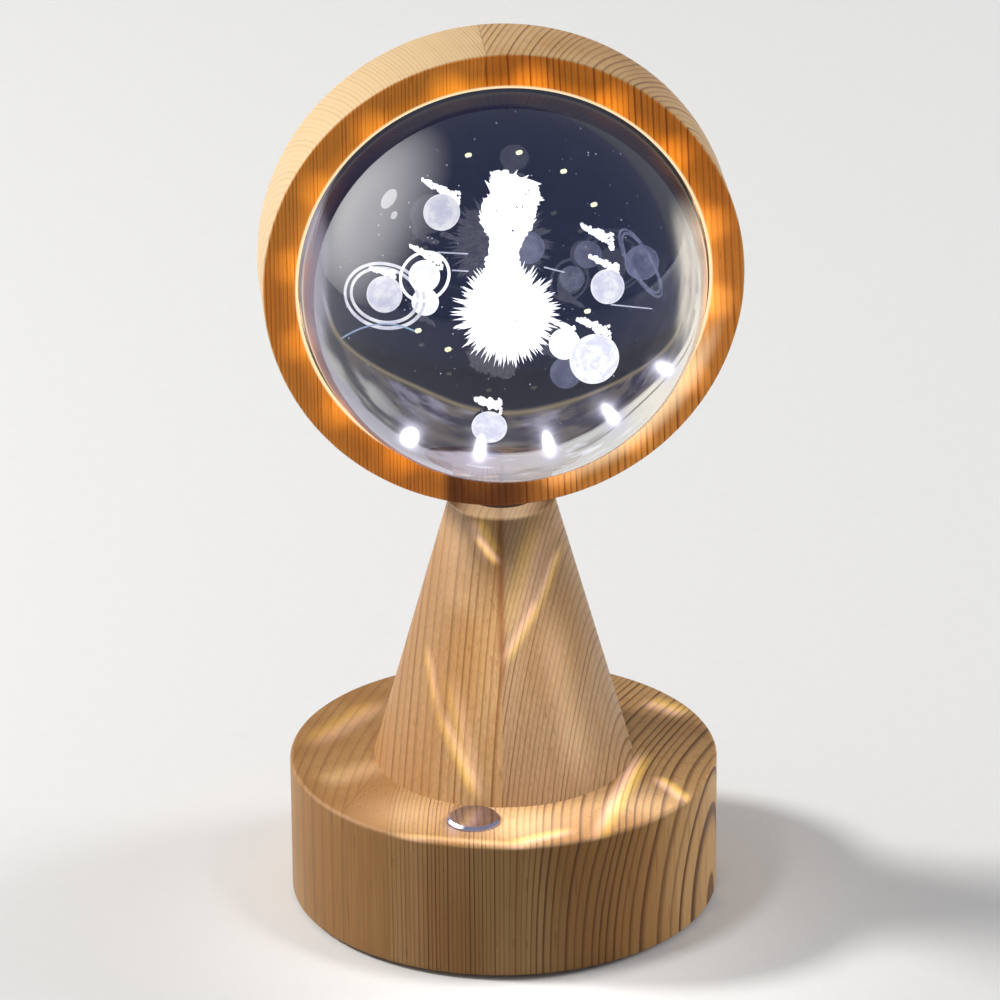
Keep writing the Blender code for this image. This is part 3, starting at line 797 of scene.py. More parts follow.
@dataclass(frozen=True)
class GlowingWood(WoodFinish):
    """Wood whose front face is lit through by the LEDs round its bore. The glow is painted light: emission
    near the bore, and an orange tint in the face's own colour.
    """

    face: float = RING_FRONT
    bore: float = RING_BORE
    # Painted light: the orange LED light taken into the front face's colour.
    tint: Triple = (1.0, 0.54, 0.19)
    warm: Triple = (1.0, 0.44, 0.05)
    pale: Triple = (1.0, 0.66, 0.30)
    # Colour of the painted highlight line on the bore's lip.
    lip: Triple = (1.0, 0.80, 0.50)
    burnt: Triple = (0.15, 0.032, 0.010)

    def build(self) -> Material:
        """Make the material, with the glow as emission.

        Returns:
            The wood, as a material.
        """
        material, nodes, shader = new_material(self.name)
        mix = nodes.mix
        turned = {"Vector": nodes.place(), "Axis": (0.0, 0.0, 1.0), "Angle": -HEAD_YAW}
        place = nodes.add("VectorRotate", turned)
        colour = self.wood(nodes, shader, place)
        lobes = nodes.group(LedLobes, vector=place, sharpness=1.6)
        lobe, radius = lobes["Lobe"], lobes["Radius"]
        aside, depth, above = nodes.axes(place)
        slant = aside - above
        front = depth.ramp(-self.face + 0.00025, -self.face + 0.00005)
        foot = above.ramp(-0.0345, -0.0400) * aside.ramp(-0.0135, -0.0105)
        foot = foot * aside.ramp(0.0110, -0.0010) * depth.ramp(0.0020, -0.0040)
        calm = front.fade(0.65, 0.0) * aside.ramp(0.0, -0.010)
        # Painted light: the front face's colour is multiplied by the orange LED tint.
        lit_colour = mix(front, mix(calm, colour, self.left.early), mix(1.0, colour, self.tint, "MULTIPLY"))
        lit_colour = mix(foot * 0.85, lit_colour, self.burnt)
        reach = lobe.fade(self.bore + 0.0040, self.bore + 0.0072)
        glow = radius.ramp(reach, self.bore - 0.0020) * lobe.fade(0.34, 0.66)
        low = slant.ramp(0.015, 0.055)
        dim = foot.fade(1.0, 0.12) * aside.ramp(-0.014, -0.004, 0.85, 1.30)
        glow = (glow + 0.10) * front * dim * low.fade(1.0, 1.35)
        fibres = mix(1.0, mix(low, self.warm, self.pale), colour * 1.9, "MULTIPLY")
        # Painted highlights: a pale line round the bore's lip and a hot spot at the lower right, as emission.
        inside = depth.ramp(-self.face + 0.0004, -self.face + 0.0002)
        edge = radius.ramp(self.bore + 0.0008, self.bore + 0.00035) * inside
        close = radius.ramp(self.bore + 0.0050, self.bore + 0.0006, 0.0, 0.78)
        hot = slant.ramp(0.049, 0.059) * close * front
        light = mix(edge.at_least(hot), fibres * glow, self.lip)
        # Painted shade: the upper ring looks darker, and glows less, where glass or metal mirrors it.
        mirrored = nodes.add("LightPath", output="Is Glossy Ray") * above.ramp(0.0, 0.020)
        nodes.plug(shader["Base Color"], mix(mirrored, lit_colour, lit_colour * 0.45))
        nodes.plug(shader["Emission Color"], light * mirrored.fade(1.0, 0.25))
        unlit(material, shader, 1.0)
        return material


@dataclass(frozen=True)
class PlainFinish:
    """Moulded, plated or sprayed surface with a fine mottle."""

    name: str
    light: Triple
    dark: Triple
    smooth: float
    rough: float
    metallic: float = 0.0
    scale: float = 1200.0
    bump: float = 0.1
    stretch: Triple = ONES
    emission: float = 0.0

    def build(self) -> Material:
        """Make the material.

        Returns:
            The finish, as a material.
        """
        material, nodes, shader = new_material(self.name)
        inputs = {title: getattr(self, title) for title in ("light", "dark", "smooth", "rough", "scale")}
        surface = nodes.group(FineMottle, vector=nodes.place() * self.stretch, **inputs)
        nodes.plug(shader["Base Color"], surface["Color"])
        nodes.plug(shader["Roughness"], surface["Roughness"])
        shader["Metallic"].default_value = self.metallic
        set_bump(nodes, shader, surface["Height"], self.bump, 0.00008)
        if self.emission:
            nodes.plug(shader["Emission Color"], surface["Color"])
            unlit(material, shader, self.emission)
        return material


@dataclass(frozen=True)
class CrystalFinish:
    """Polished crystal, tinted dark, in which the engraving reads as light. The dark tint is painted shade:
    it stands in for the dark surroundings seen through the clear ball.
    """

    name: str = "crystal"
    # Painted shade: the dark navy tint of the glass.
    tint: Triple = (0.012, 0.019, 0.060)
    ior: float = 1.52

    def within(self, seen: Triple, strength: float) -> Triple:
        """Find the colour that something inside must give off to look like a given colour.

        Args:
            seen: The colour as it should look from outside.
            strength: The emission strength that it is used with.

        Returns:
            The emission colour.
        """
        red, green, blue = (s / strength / math.sqrt(t) for s, t in zip(seen, self.tint))
        return red, green, blue

    def build(self) -> Material:
        """Make the glass, with a trace of handling marks in its roughness.

        Returns:
            The crystal, as a material.
        """
        material, nodes, shader = new_material(self.name)
        smear = nodes.noise(nodes.place(), 70.0, 5.0, 0.65)
        shader["Base Color"].default_value = (*self.tint, 1.0)
        nodes.plug(shader["Roughness"], smear.ramp(0.62, 0.80, 0.0, 0.02))
        shader["IOR"].default_value = self.ior
        shader["Transmission Weight"].default_value = 1.0
        return material


@dataclass(frozen=True)
class InnerGlowFinish:
    """Laser-engraved points inside the crystal, lit by the LEDs; also painted images of the LEDs, painted
    glints and painted reflections of planets inside it.

    Attributes:
        name: Name of the material.
        light: How its lighter parts look through the crystal.
        shade: How its darker parts look.
        scale: Scale of its clouding.
        cover: How much it hides what lies behind it.
        strength: Strength of the emission.
    """

    name: str
    light: Triple
    shade: Triple
    scale: float = 900.0
    cover: float = 1.0
    strength: float = 8.0

    def build(self) -> Material:
        """Make the material.

        Returns:
            The lit points, as a material.
        """
        material, nodes, shader = new_material(self.name)
        light, shade = (CRYSTAL.within(seen, self.strength) for seen in (self.light, self.shade))
        cloud = nodes.noise(nodes.place(), self.scale, 6.0, 0.72)
        limb = nodes.add("LayerWeight", {"Blend": 0.5}, "Facing")
        shader["Base Color"].default_value = (0.15, 0.15, 0.15, 1.0)
        shader["Roughness"].default_value = 0.9
        shader["Alpha"].default_value = self.cover
        colour = nodes.paint(light, (cloud.ramp(0.38, 0.60), shade), (limb.ramp(0.55, 1.0), light))
        nodes.plug(shader["Emission Color"], colour)
        unlit(material, shader, self.strength)
        return material


CRYSTAL = CrystalFinish()


@dataclass(frozen=True)
class RimGlow:
    """Painted light and shade in the crystal's edge, as seen from the front: the LED strip's light, its
    flares, reflections and dark bands, drawn as emission just under the ball's surface.

    Attributes:
        inner: Angle from the line of sight at which the streaky band starts, at the sides.
        dip: How much further in it starts at the bottom.
        crest: Angle at which the LEDs' flares sit, at the sides.
        drop: How much further in they sit at the bottom.
        upper: Angle at which the grey edge starts, in the upper half.
        strength: Strength of the emission.
    """

    name: str = "rim_glow"
    inner: float = math.radians(62.0)
    dip: float = math.radians(20.5)
    crest: float = math.radians(69.5)
    drop: float = math.radians(11.5)
    upper: float = math.radians(68.8)
    strength: float = 10.0
    line: Triple = (0.30, 0.24, 0.15)
    purple: Triple = (0.050, 0.043, 0.090)
    umber: Triple = (0.200, 0.170, 0.165)
    lavender: Triple = (0.36, 0.35, 0.47)
    # Pale lilac of painted light at the left edge and in the bright slab.
    mist: Triple = (0.55, 0.53, 0.66)
    slab: Triple = (0.68, 0.68, 0.66)
    mauve: Triple = (0.300, 0.270, 0.310)
    # Painted shade: colour of the dark band along the ball's top edge.
    soot: Triple = (0.050, 0.044, 0.050)
    night: Triple = (0.040, 0.045, 0.066)
    cream: Triple = (1.05, 0.97, 0.82)
    flare: Triple = (1.3, 1.3, 1.5)
    halo: Triple = (0.80, 0.78, 1.05)

    def build(self) -> Material:
        """Make the painted bands of light and shade, with a painted flare for each LED.

        Returns:
            The glow, as a material.
        """
        material, nodes, shader = new_material(self.name)
        unit = nodes.vec("NORMALIZE", nodes.place())
        x, z, near = (nodes.measure("DOT_PRODUCT", unit, tuple(axis)) for axis in VIEW.axes())
        flat = nodes.add("CombineXYZ", {0: x, 2: z})
        clock = nodes.vec("NORMALIZE", flat)
        polar = nodes.math("ARCCOSINE", near)
        across, _, above = nodes.axes(clock)
        rolled = nodes.add("CombineXYZ", {0: across, 1: polar * 3.0, 2: above})
        swirl = nodes.noise(rolled, 2.4, 3.0, 0.55)
        fine = nodes.noise(rolled, 4.2)
        lobe = nodes.group(LedLobes, vector=clock, sharpness=x.ramp(-0.45, -0.20, 7.0, 17.0))["Lobe"]
        wide = nodes.group(LedLobes, vector=clock, sharpness=3.0)["Lobe"]
        low, down = z.ramp(0.30, -0.25), z.ramp(-0.25, -0.70)
        leftward = x.ramp(-0.05, -0.50)
        past = polar + (down * self.dip + leftward * z.ramp(0.15, -0.45) * 0.08) - self.inner
        beyond = polar + down * self.drop * leftward.fade(1.0, 0.35) - self.crest
        veil = swirl.ramp(0.30, 0.62, 0.30, 0.80) * x.ramp(-0.60, -0.10, 0.75, 1.0)
        band = past.ramp(-0.02, 0.05) * veil * low
        edge = beyond + lobe.ramp(0.0, 0.3, -0.030, 0.0)
        slab = edge.ramp(-0.012, 0.020) * low * x.ramp(-0.75, -0.10, 0.55, 0.92)
        # Painted shade: a thin darker arc in the band at the lower right.
        arc = abs(beyond - x.ramp(0.3, 0.8, 0.16, 0.10))
        dark_arc = arc.ramp(0.016, 0.004) * x.ramp(0.32, 0.55) * z.ramp(-0.15, -0.30)
        high = low.fade(0.75, 0.0)
        outer = polar.ramp(self.upper, self.upper + 0.03)
        shade = polar.ramp(0.925, 0.975) * x.ramp(-0.74, -0.38) * low.fade(0.94, 0.0)
        # Painted light: a pale edge along the ball's left limb.
        left_limb_light = x.ramp(-0.80, -0.90) * abs(z).ramp(0.48, 0.12) * 0.48
        wavy = polar + fine.ramp(0.3, 0.7, -0.012, 0.012)
        thin = abs(wavy - self.upper).ramp(0.018, 0.004) * high
        inner = abs(past - 0.01).ramp(0.045, 0.0) * low
        # Faint painted light in rings, towards the right of the ball.
        rings = nodes.math("SINE", polar * 46.0 + swirl * 7.0)
        faint_cover = rings.ramp(0.55, 1.0) * x.ramp(-0.35, 0.15) * polar.ramp(0.75, 1.0) * 0.10
        faint_cover = x.ramp(0.35, 0.80) * 0.06 + faint_cover
        here = x.ramp(-0.68, -0.45) * z.ramp(-0.30, -0.42)
        spark = nodes.math("MULTIPLY", abs(beyond).ramp(0.18, 0.0) * lobe * here, 3.0, clamp=True)
        halo = abs(beyond).ramp(0.34, 0.0) * wide * here * 0.75
        # Painted reflection: a bright cream glare at the ball's right edge.
        right_glare = x.ramp(0.78, 0.88) * abs(z).ramp(0.42, 0.20) * polar.ramp(0.96, 1.06)
        right_glare = right_glare * swirl.ramp(0.35, 0.55, 0.55, 0.80)
        # Painted light: a pale patch in the band at the left.
        pale_patch = x.ramp(-0.45, -0.65) * swirl.ramp(0.40, 0.56) * past.ramp(0.12, 0.30)
        looks = {name: look for name, look in vars(self).items() if isinstance(look, tuple)}
        tone = {name: CRYSTAL.within(look, self.strength) for name, look in looks.items()}
        pale = nodes.paint(
            tone["mist"],
            (x.ramp(-0.30, 0.45), tone["slab"]),
            (fine.ramp(0.62, 0.70) * 0.5, tone["flare"]),
            (swirl.ramp(0.46, 0.34, 0.0, 0.4), tone["umber"]),
            (x.ramp(0.52, 0.76, 0.0, 0.75), tone["cream"]),
        )
        # Painted shade: the top edge's dark band, mauve towards the left.
        over = nodes.mix(x.ramp(-0.60, -0.10), tone["mauve"], tone["soot"])
        over = nodes.mix(outer, tone["night"], over)
        light = nodes.paint(
            tone["purple"],
            (fine.ramp(0.40, 0.60), tone["umber"]),
            (swirl.ramp(0.52, 0.66) * 0.8, tone["lavender"]),
            (pale_patch * 0.8, tone["slab"]),
            (slab.ramp(0.0, 0.25), pale),
            (inner, tone["line"]),
            (low.ramp(0.5, 0.2), nodes.mix(thin, over, tone["soot"])),
            (dark_arc, tone["umber"]),
            (left_limb_light.ramp(0.0, 0.3), tone["mist"]),
            (right_glare, tone["cream"]),
            (halo, tone["halo"]),
            (spark, tone["flare"]),
        )
        nodes.plug(shader["Emission Color"], light)
        cover = faint_cover
        for more in (band, slab, outer * high, shade, thin, left_limb_light, right_glare, halo, inner * 0.7):
            cover = cover.at_least(more)
        planet = PLANETS[7]
        middle = (planet.across / CrystalBall.size, 0.0, planet.up / CrystalBall.size)
        clear = nodes.measure("DISTANCE", flat, middle).ramp(0.082, 0.092)
        facing = nodes.add("NewGeometry", output="Backfacing").fade(1.0, 0.0)
        nodes.plug(shader["Alpha"], (cover * clear).at_least(spark) * facing)
        shader["Base Color"].default_value = (0.0, 0.0, 0.0, 1.0)
        shader["Roughness"].default_value = 1.0
        shader["Specular IOR Level"].default_value = 0.0
        unlit(material, shader, self.strength)
        return material


RING_WOOD = GlowingWood(
    name="ring_wood",
    left=Board(
        pith=(-0.160, -0.030, 0.0),
        early=(0.86, 0.61, 0.33),
        late=(0.36, 0.16, 0.05),
        blush=(0.78, 0.48, 0.23),
        ring_width=0.0007,
        waver=0.0010,
        contrast=0.85,
    ),
    right=Board(
        pith=(0.130, -0.045, 0.0),
        early=(0.72, 0.46, 0.22),
        late=(0.26, 0.11, 0.035),
        blush=(0.64, 0.37, 0.16),
        ring_width=0.0012,
        waver=0.0020,
        contrast=1.0,
        lean=(0.0, 0.04, 0.0),
    ),
    seam_point=(-0.0073, 0.0, 0.0),
    seam_normal=(0.996, 0.0, -0.087),
)
CONE_WOOD = WoodFinish(
    name="cone_wood",
    left=Board(
        pith=(0.220, -0.010, 0.0),
        early=(0.57, 0.34, 0.155),
        late=(0.28, 0.12, 0.036),
        blush=(0.52, 0.27, 0.10),
        ring_width=0.0017,
        taper=25.0,
        waver=0.0018,
        contrast=0.95,
    ),
    right=Board(
        pith=(0.240, -0.006, 0.0),
        early=(0.52, 0.335, 0.19),
        late=(0.24, 0.125, 0.052),
        blush=(0.46, 0.27, 0.13),
        ring_width=0.0009,
        taper=75.0,
        waver=0.0034,
        contrast=1.0,
    ),
    seam_point=(0.0020, -0.0120, 0.0),
    seam_normal=(1.0, 0.2, 0.0),
    glue=(0.30, 0.11, 0.040),
    glue_width=0.0013,
    glue_cover=0.85,
    glue_from=0.048,
    streaks=(
        Streak((0.0023, 0.0764), (-0.0036, 0.0825), 0.0013, 1.0),
        Streak((-0.0040, 0.0860), (0.0010, 0.0770), 0.0030, 0.5),
        Streak((0.0110, 0.0862), (-0.0100, 0.0862), 0.0011, 0.9, 0.2),
        Streak((-0.0070, 0.0860), (-0.0060, 0.0640), 0.0070, 0.28, 0.0),
        Streak((0.0125, 0.0785), (0.0098, 0.0685), 0.0014, 0.6),
        Streak((0.0108, 0.0715), (0.0030, 0.0565), 0.0018, 0.8),
        Streak((0.0040, 0.0600), (0.0098, 0.0860), 0.0045, 0.35),
        Streak((0.0105, 0.0690), (0.0196, 0.0290), 0.0038, 0.32, 0.1),
        Streak((-0.0095, 0.0460), (-0.0132, 0.0590), 0.0016, 0.6),
        Streak((0.0008, 0.0300), (-0.0106, 0.0490), 0.0022, 0.7),
        Streak((0.0000, 0.0300), (-0.0080, 0.0560), 0.0030, 0.4),
    ),
)
BASE_WOOD = WoodFinish(
    name="base_wood",
    left=Board(
        pith=(0.150, -0.010, 0.0),
        early=(0.45, 0.248, 0.088),
        late=(0.26, 0.115, 0.036),
        blush=(0.39, 0.19, 0.060),
        ring_width=0.0021,
        waver=0.0020,
        contrast=0.60,
    ),
    right=Board(
        pith=(0.150, -0.010, 0.0),
        early=(0.48, 0.280, 0.115),
        late=(0.145, 0.056, 0.018),
        blush=(0.38, 0.185, 0.060),
        ring_width=0.0010,
        growth=0.039,
        outer_width=0.00085,
        reach=0.1455,
        taper=240.0,
        plain_beyond=0.1668,
        waver=0.0022,
        contrast=1.15,
    ),
    seam_point=(-0.0250, -0.0240, 0.0),
    seam_normal=(0.990, -0.141, 0.0),
    plane=Plane.TOP,
    level=0.0297,
    streaks=(
        Streak((0.0285, 0.0060), (0.0252, -0.0410), 0.0030, 1.5),
        Streak((0.0320, -0.0060), (0.0415, -0.0180), 0.0024, 1.2),
        Streak((0.0240, 0.0290), (0.0350, 0.0225), 0.0040, 0.8),
        Streak((0.0080, -0.0425), (0.0210, -0.0325), 0.0026, 1.5),
        Streak((-0.0410, -0.0070), (-0.0280, 0.0210), 0.0050, 0.5),
        Streak((-0.0200, -0.0415), (0.0160, -0.0415), 0.0017, 0.8, 0.5),
        Streak((-0.0300, -0.0300), (0.0280, -0.0360), 0.0120, 0.50, 0.0),
        Streak((0.0000, -0.0400), (0.0440, -0.0120), 0.0130, 0.60, 0.0),
        Streak((-0.0350, -0.0220), (-0.0200, -0.0080), 0.0060, 0.40, 0.2),
    ),
)

PLAIN_FINISHES = (
    PlainFinish("dowel_wood", (0.66, 0.47, 0.28), (0.55, 0.36, 0.19), 0.5, 0.7, stretch=(1, 1, 0.05)),
    PlainFinish("clear_silicone", (0.85, 0.85, 0.83), (0.78, 0.78, 0.76), 0.3, 0.45),
    # Painted light: the strip glows faintly, as if lit by its own LEDs.
    PlainFinish("strip_white", (0.95, 0.96, 1.0), (0.80, 0.82, 0.90), 0.4, 0.6, emission=0.5),
    PlainFinish("led_white", ONES, (0.85, 0.92, 1.0), 0.2, 0.4, emission=4.5),
    PlainFinish("plated_steel", (0.66, 0.66, 0.68), (0.52, 0.52, 0.54), 0.25, 0.4, 1, stretch=(1, 1, 0.2)),
    # The grey is the disc's own; its bluish-purple tint is painted light, the crystal's pink and purple light
    # on the disc.
    PlainFinish(
        "polished_metal", (0.54, 0.54, 0.80), (0.44, 0.43, 0.68), 0.10, 0.24, 1, 700, 0.04,
        stretch=(0.15, 1, 1),
    ),
    PlainFinish("spring_brass", (0.74, 0.57, 0.28), (0.60, 0.44, 0.20), 0.3, 0.45, 1),
    PlainFinish("nylon", (0.13, 0.075, 0.045), (0.08, 0.045, 0.028), 0.45, 0.6),
    PlainFinish("black_plastic", (0.035, 0.035, 0.037), (0.022, 0.022, 0.024), 0.4, 0.55, 0, 2400, 0.35),
    PlainFinish("board_green", (0.03, 0.20, 0.09), (0.02, 0.15, 0.07), 0.35, 0.5, 0, 900),
    PlainFinish("chip_black", (0.025, 0.025, 0.026), (0.015, 0.015, 0.016), 0.45, 0.6),
    PlainFinish("cell_foil", (0.60, 0.62, 0.65), (0.48, 0.50, 0.53), 0.3, 0.45, 0.6, 400, 0.3),
    PlainFinish("tape_white", (0.82, 0.82, 0.80), (0.74, 0.74, 0.71), 0.6, 0.8),
    PlainFinish("red_lead", (0.56, 0.03, 0.02), (0.45, 0.02, 0.015), 0.4, 0.5),
    PlainFinish("black_lead", (0.025, 0.025, 0.025), (0.015, 0.015, 0.015), 0.4, 0.5),
    PlainFinish("foam_rubber", (0.05, 0.05, 0.05), (0.025, 0.025, 0.025), 0.85, 0.95, 0, 2600, 0.9),
)
SLOT_FINISHES = {each.name: each for each in (RING_WOOD, CONE_WOOD, BASE_WOOD, CRYSTAL, *PLAIN_FINISHES)}


# Sub-assemblies


def centre_of(node: str) -> tuple[Vector, float]:
    """A node's middle and half its height."""
    low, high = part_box(node)
    return (low + high) / 2, (high.z - low.z) / 2


@dataclass
class RingHead:
    """The turned wooden ring with its bore, strip channel and rear ledge."""

    half_depth: float = RING_FRONT
    bore: float = RING_BORE
    channel: float = 0.0431
    channel_half: float = 0.0043
    ledge: float = 0.0415
    ball_forward: float = 0.0065
    edge: float = 0.0006
    lip: float = 0.0003
    flange: float = 0.0013
    flange_hole: float = 0.0042
    washer_seat: float = 0.0073

    def outline(self, radius: float) -> list[Point]:
        """Find the ring's section.

        Args:
            radius: The ring's outer radius.

        Returns:
            Points as (radius, distance in front of its middle).
        """
        front = self.half_depth
        corner = radius - self.edge
        behind = [front + self.ball_forward - (front - self.channel_half) * k / 8 for k in range(9)]
        return [
            *rounded((corner, front - self.edge), self.edge, 90, 0),
            *rounded((corner, self.edge - front), self.edge, 0, -90),
            *[(math.sqrt(self.ledge**2 - b**2), self.ball_forward - b) for b in behind],
            (self.channel, -self.channel_half),
            (self.channel, self.channel_half),
            (self.bore, self.channel_half),
            (self.bore, front - self.lip),
            (self.bore + self.lip * 0.3, front - self.lip * 0.3),
            (self.bore + self.lip, front),
        ]

    def build(self) -> None:
        """Turn the ring, drill it for the bolt and dress it."""
        centre, radius = centre_of("head_ring")
        mesh = lathe("head_ring_wood", self.outline(radius))
        mesh.transform(Matrix.Rotation(HEAD_YAW, 4, "Z") @ Matrix.Rotation(math.pi / 2, 4, "X"))
        below, inside = -radius - OVERSHOOT, OVERSHOOT - self.channel
        cutters = [
            cylinder(BOLT_BORE, below, inside),
            cylinder(self.flange_hole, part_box("stem_tube")[1].z - centre.z - self.flange, inside),
            cylinder(self.washer_seat, below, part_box("swivel_washer")[1].z - centre.z + GAP),
        ]
        ring = carve(make_object(mesh), cutters)
        ring.location = centre
        dress(ring, Body.HEAD, "ring_wood", ["head_ring"])


@dataclass
class CrystalBall:
    """The ball, and the painted light and shade in its edge."""

    size: float = 0.040
    segments: int = 192
    glow_inset: float = 0.00035
    glow_from: float = math.radians(40.0)
    glow_to: float = math.radians(92.0)
    glow_rows: int = 48

    def zone(self, name: str, radius: float, start: float, end: float, rows: int) -> Mesh:
        """Turn a zone of a sphere.

        Args:
            name: Name of the mesh.
            radius: Radius of the sphere.
            start: Angle from the pole at which it starts.
            end: Angle at which it ends.
            rows: Rows of facets between them.

        Returns:
            The mesh.
        """
        angles = [start + (end - start) * k / rows for k in range(rows + 1)]
        outline = [(radius * math.sin(a), radius * math.cos(a)) for a in angles]
        return lathe(name, outline, self.segments, closed=False)

    def build(self) -> None:
        """Make the ball and the painted glow and shade just under its surface, about the line of sight."""
        centre, radius = centre_of("crystal_ball")
        ball = self.zone("crystal_sphere", radius, 0.0, math.pi, self.segments // 2)
        dress(make_object(ball, centre), Body.HEAD, "crystal", ["crystal_ball"])
        glow = self.zone("rim_glow", radius - self.glow_inset, self.glow_from, self.glow_to, self.glow_rows)
        glow.transform(VIEW.turn())
        dress(make_object(glow, centre), Body.HEAD, "led_white", material=RimGlow().build())


class Figure(Enum):
    """Engraved planets, and painted reflections of planets: their light and shade as they look, cover, and
    thickness of ring wire.
    """

    PLANET = ((0.97, 0.98, 1.04), (0.68, 0.70, 0.90), 1.0, 0.00021)
    GHOST = ((0.21, 0.23, 0.38), (0.08, 0.09, 0.20), 0.42, 0.00014)


@dataclass(frozen=True)
class Planet:
    """One planet, engraved or painted as a reflection, placed as it looks through the crystal.

    Attributes:
        across: Apparent place to the right of the ball's centre.
        up: Apparent place above it.
        size: Apparent radius.
        depth: Real distance in front of the ball's middle.
        glow: How bright it is.
        kind: Engraved planet, or painted reflection of one.
        rings: Apparent radii of its rings.
        open: How round its rings look.
        tilt: How far its rings lean, in degrees.
    """

    across: float
    up: float
    size: float
    depth: float
    glow: float
    kind: Figure = Figure.PLANET
    rings: tuple[float, ...] = ()
    open: float = 0.7
    tilt: float = 0.0


PLANETS = (
    Planet(-0.0119, 0.0126, 0.0036, 0.004, 0.80),
    Planet(-0.0232, -0.0030, 0.0036, -0.002, 0.82, rings=(0.0068, 0.0081), open=0.68, tilt=24.0),
    Planet(-0.0153, 0.0002, 0.0031, 0.005, 1.40, rings=(0.0050,), open=0.92, tilt=-25.0),
    Planet(-0.0153, -0.0044, 0.0027, -0.004, 1.20),
    Planet(0.0203, -0.0018, 0.0034, 0.004, 0.95),
    Planet(0.0178, -0.0160, 0.0050, 0.006, 1.15),
    Planet(0.0121, -0.0127, 0.0031, -0.003, 1.50),
    Planet(-0.0027, -0.0293, 0.0035, 0.003, 1.00),
    # Painted reflections of planets, drawn as faint planets.
    Planet(0.0272, 0.0036, 0.0034, -0.008, 1.0, Figure.GHOST, (0.0066, 0.0075), 0.50, 56.0),
    Planet(0.0167, 0.0052, 0.0027, -0.008, 0.7, Figure.GHOST),
    Planet(0.0136, 0.0006, 0.0025, -0.009, 0.6, Figure.GHOST),
    Planet(0.0050, 0.0066, 0.0032, -0.009, 0.9, Figure.GHOST),
    Planet(0.0124, -0.0182, 0.0031, -0.009, 0.8, Figure.GHOST),
)

# Painted images of the far LEDs, seen through the ball.
SPARKS = (
    (-0.0067, 0.0238),
    (0.0031, 0.0243),
    (0.0117, 0.0207),
    (0.0176, 0.0143),
    (0.0165, -0.0064),
    (-0.0108, -0.0139),
    (-0.0166, -0.0102),
)

ORBITS = (
    ((-0.0128, 0.0051), (-0.0068, 0.0048)),
    ((-0.0100, 0.0016), (-0.0068, 0.0014)),
    ((0.0080, 0.0022), (0.0120, 0.0012)),
    # A painted glint, drawn as one more line.
    ((0.0210, -0.0051), (0.0290, -0.0059)),
)

# A painted glint: a thin bluish arc of light in the ball.
GLINT = tuple((-0.0315 + 0.0149 * k / 16, -0.0089 - 0.0090 * (k / 16 - 0.56) ** 2) for k in range(17))


@dataclass(frozen=True)
class Drift:
    """A slanting drift of bright grains: where it looks to be, its half length, fall and thickness."""

    across: float
    up: float
    reach: float
    fall: float
    thick: float = 0.0022


DRIFTS = (
    Drift(-0.0120, 0.0170, 0.0036, 0.0019),
    Drift(-0.0233, 0.0012, 0.0024, 0.0006, 0.0013),
    Drift(-0.0150, 0.0045, 0.0031, 0.0017),
    Drift(0.0196, 0.0028, 0.0028, 0.0014, 0.0019),
    Drift(0.0176, -0.0094, 0.0032, 0.0014, 0.0024),
    Drift(0.0113, -0.0092, 0.0028, 0.0012, 0.0014),
    Drift(-0.0029, -0.0245, 0.0026, 0.0008, 0.0026),
    Drift(0.0183, 0.0085, 0.0031, 0.0016, 0.0026),
)

# The flame's outline: share of its height, middle and half width
FLAME = (
    (0.0, -0.0003, 0.0036),
    (0.21, 0.0, 0.0027),
    (0.36, 0.0009, 0.0031),
    (0.45, 0.0008, 0.0045),
    (0.52, 0.0007, 0.0049),
    (0.69, 0.0014, 0.0052),
    (0.84, 0.0024, 0.0045),
    (0.92, 0.0012, 0.0034),
    (1.0, -0.0004, 0.0012),
)


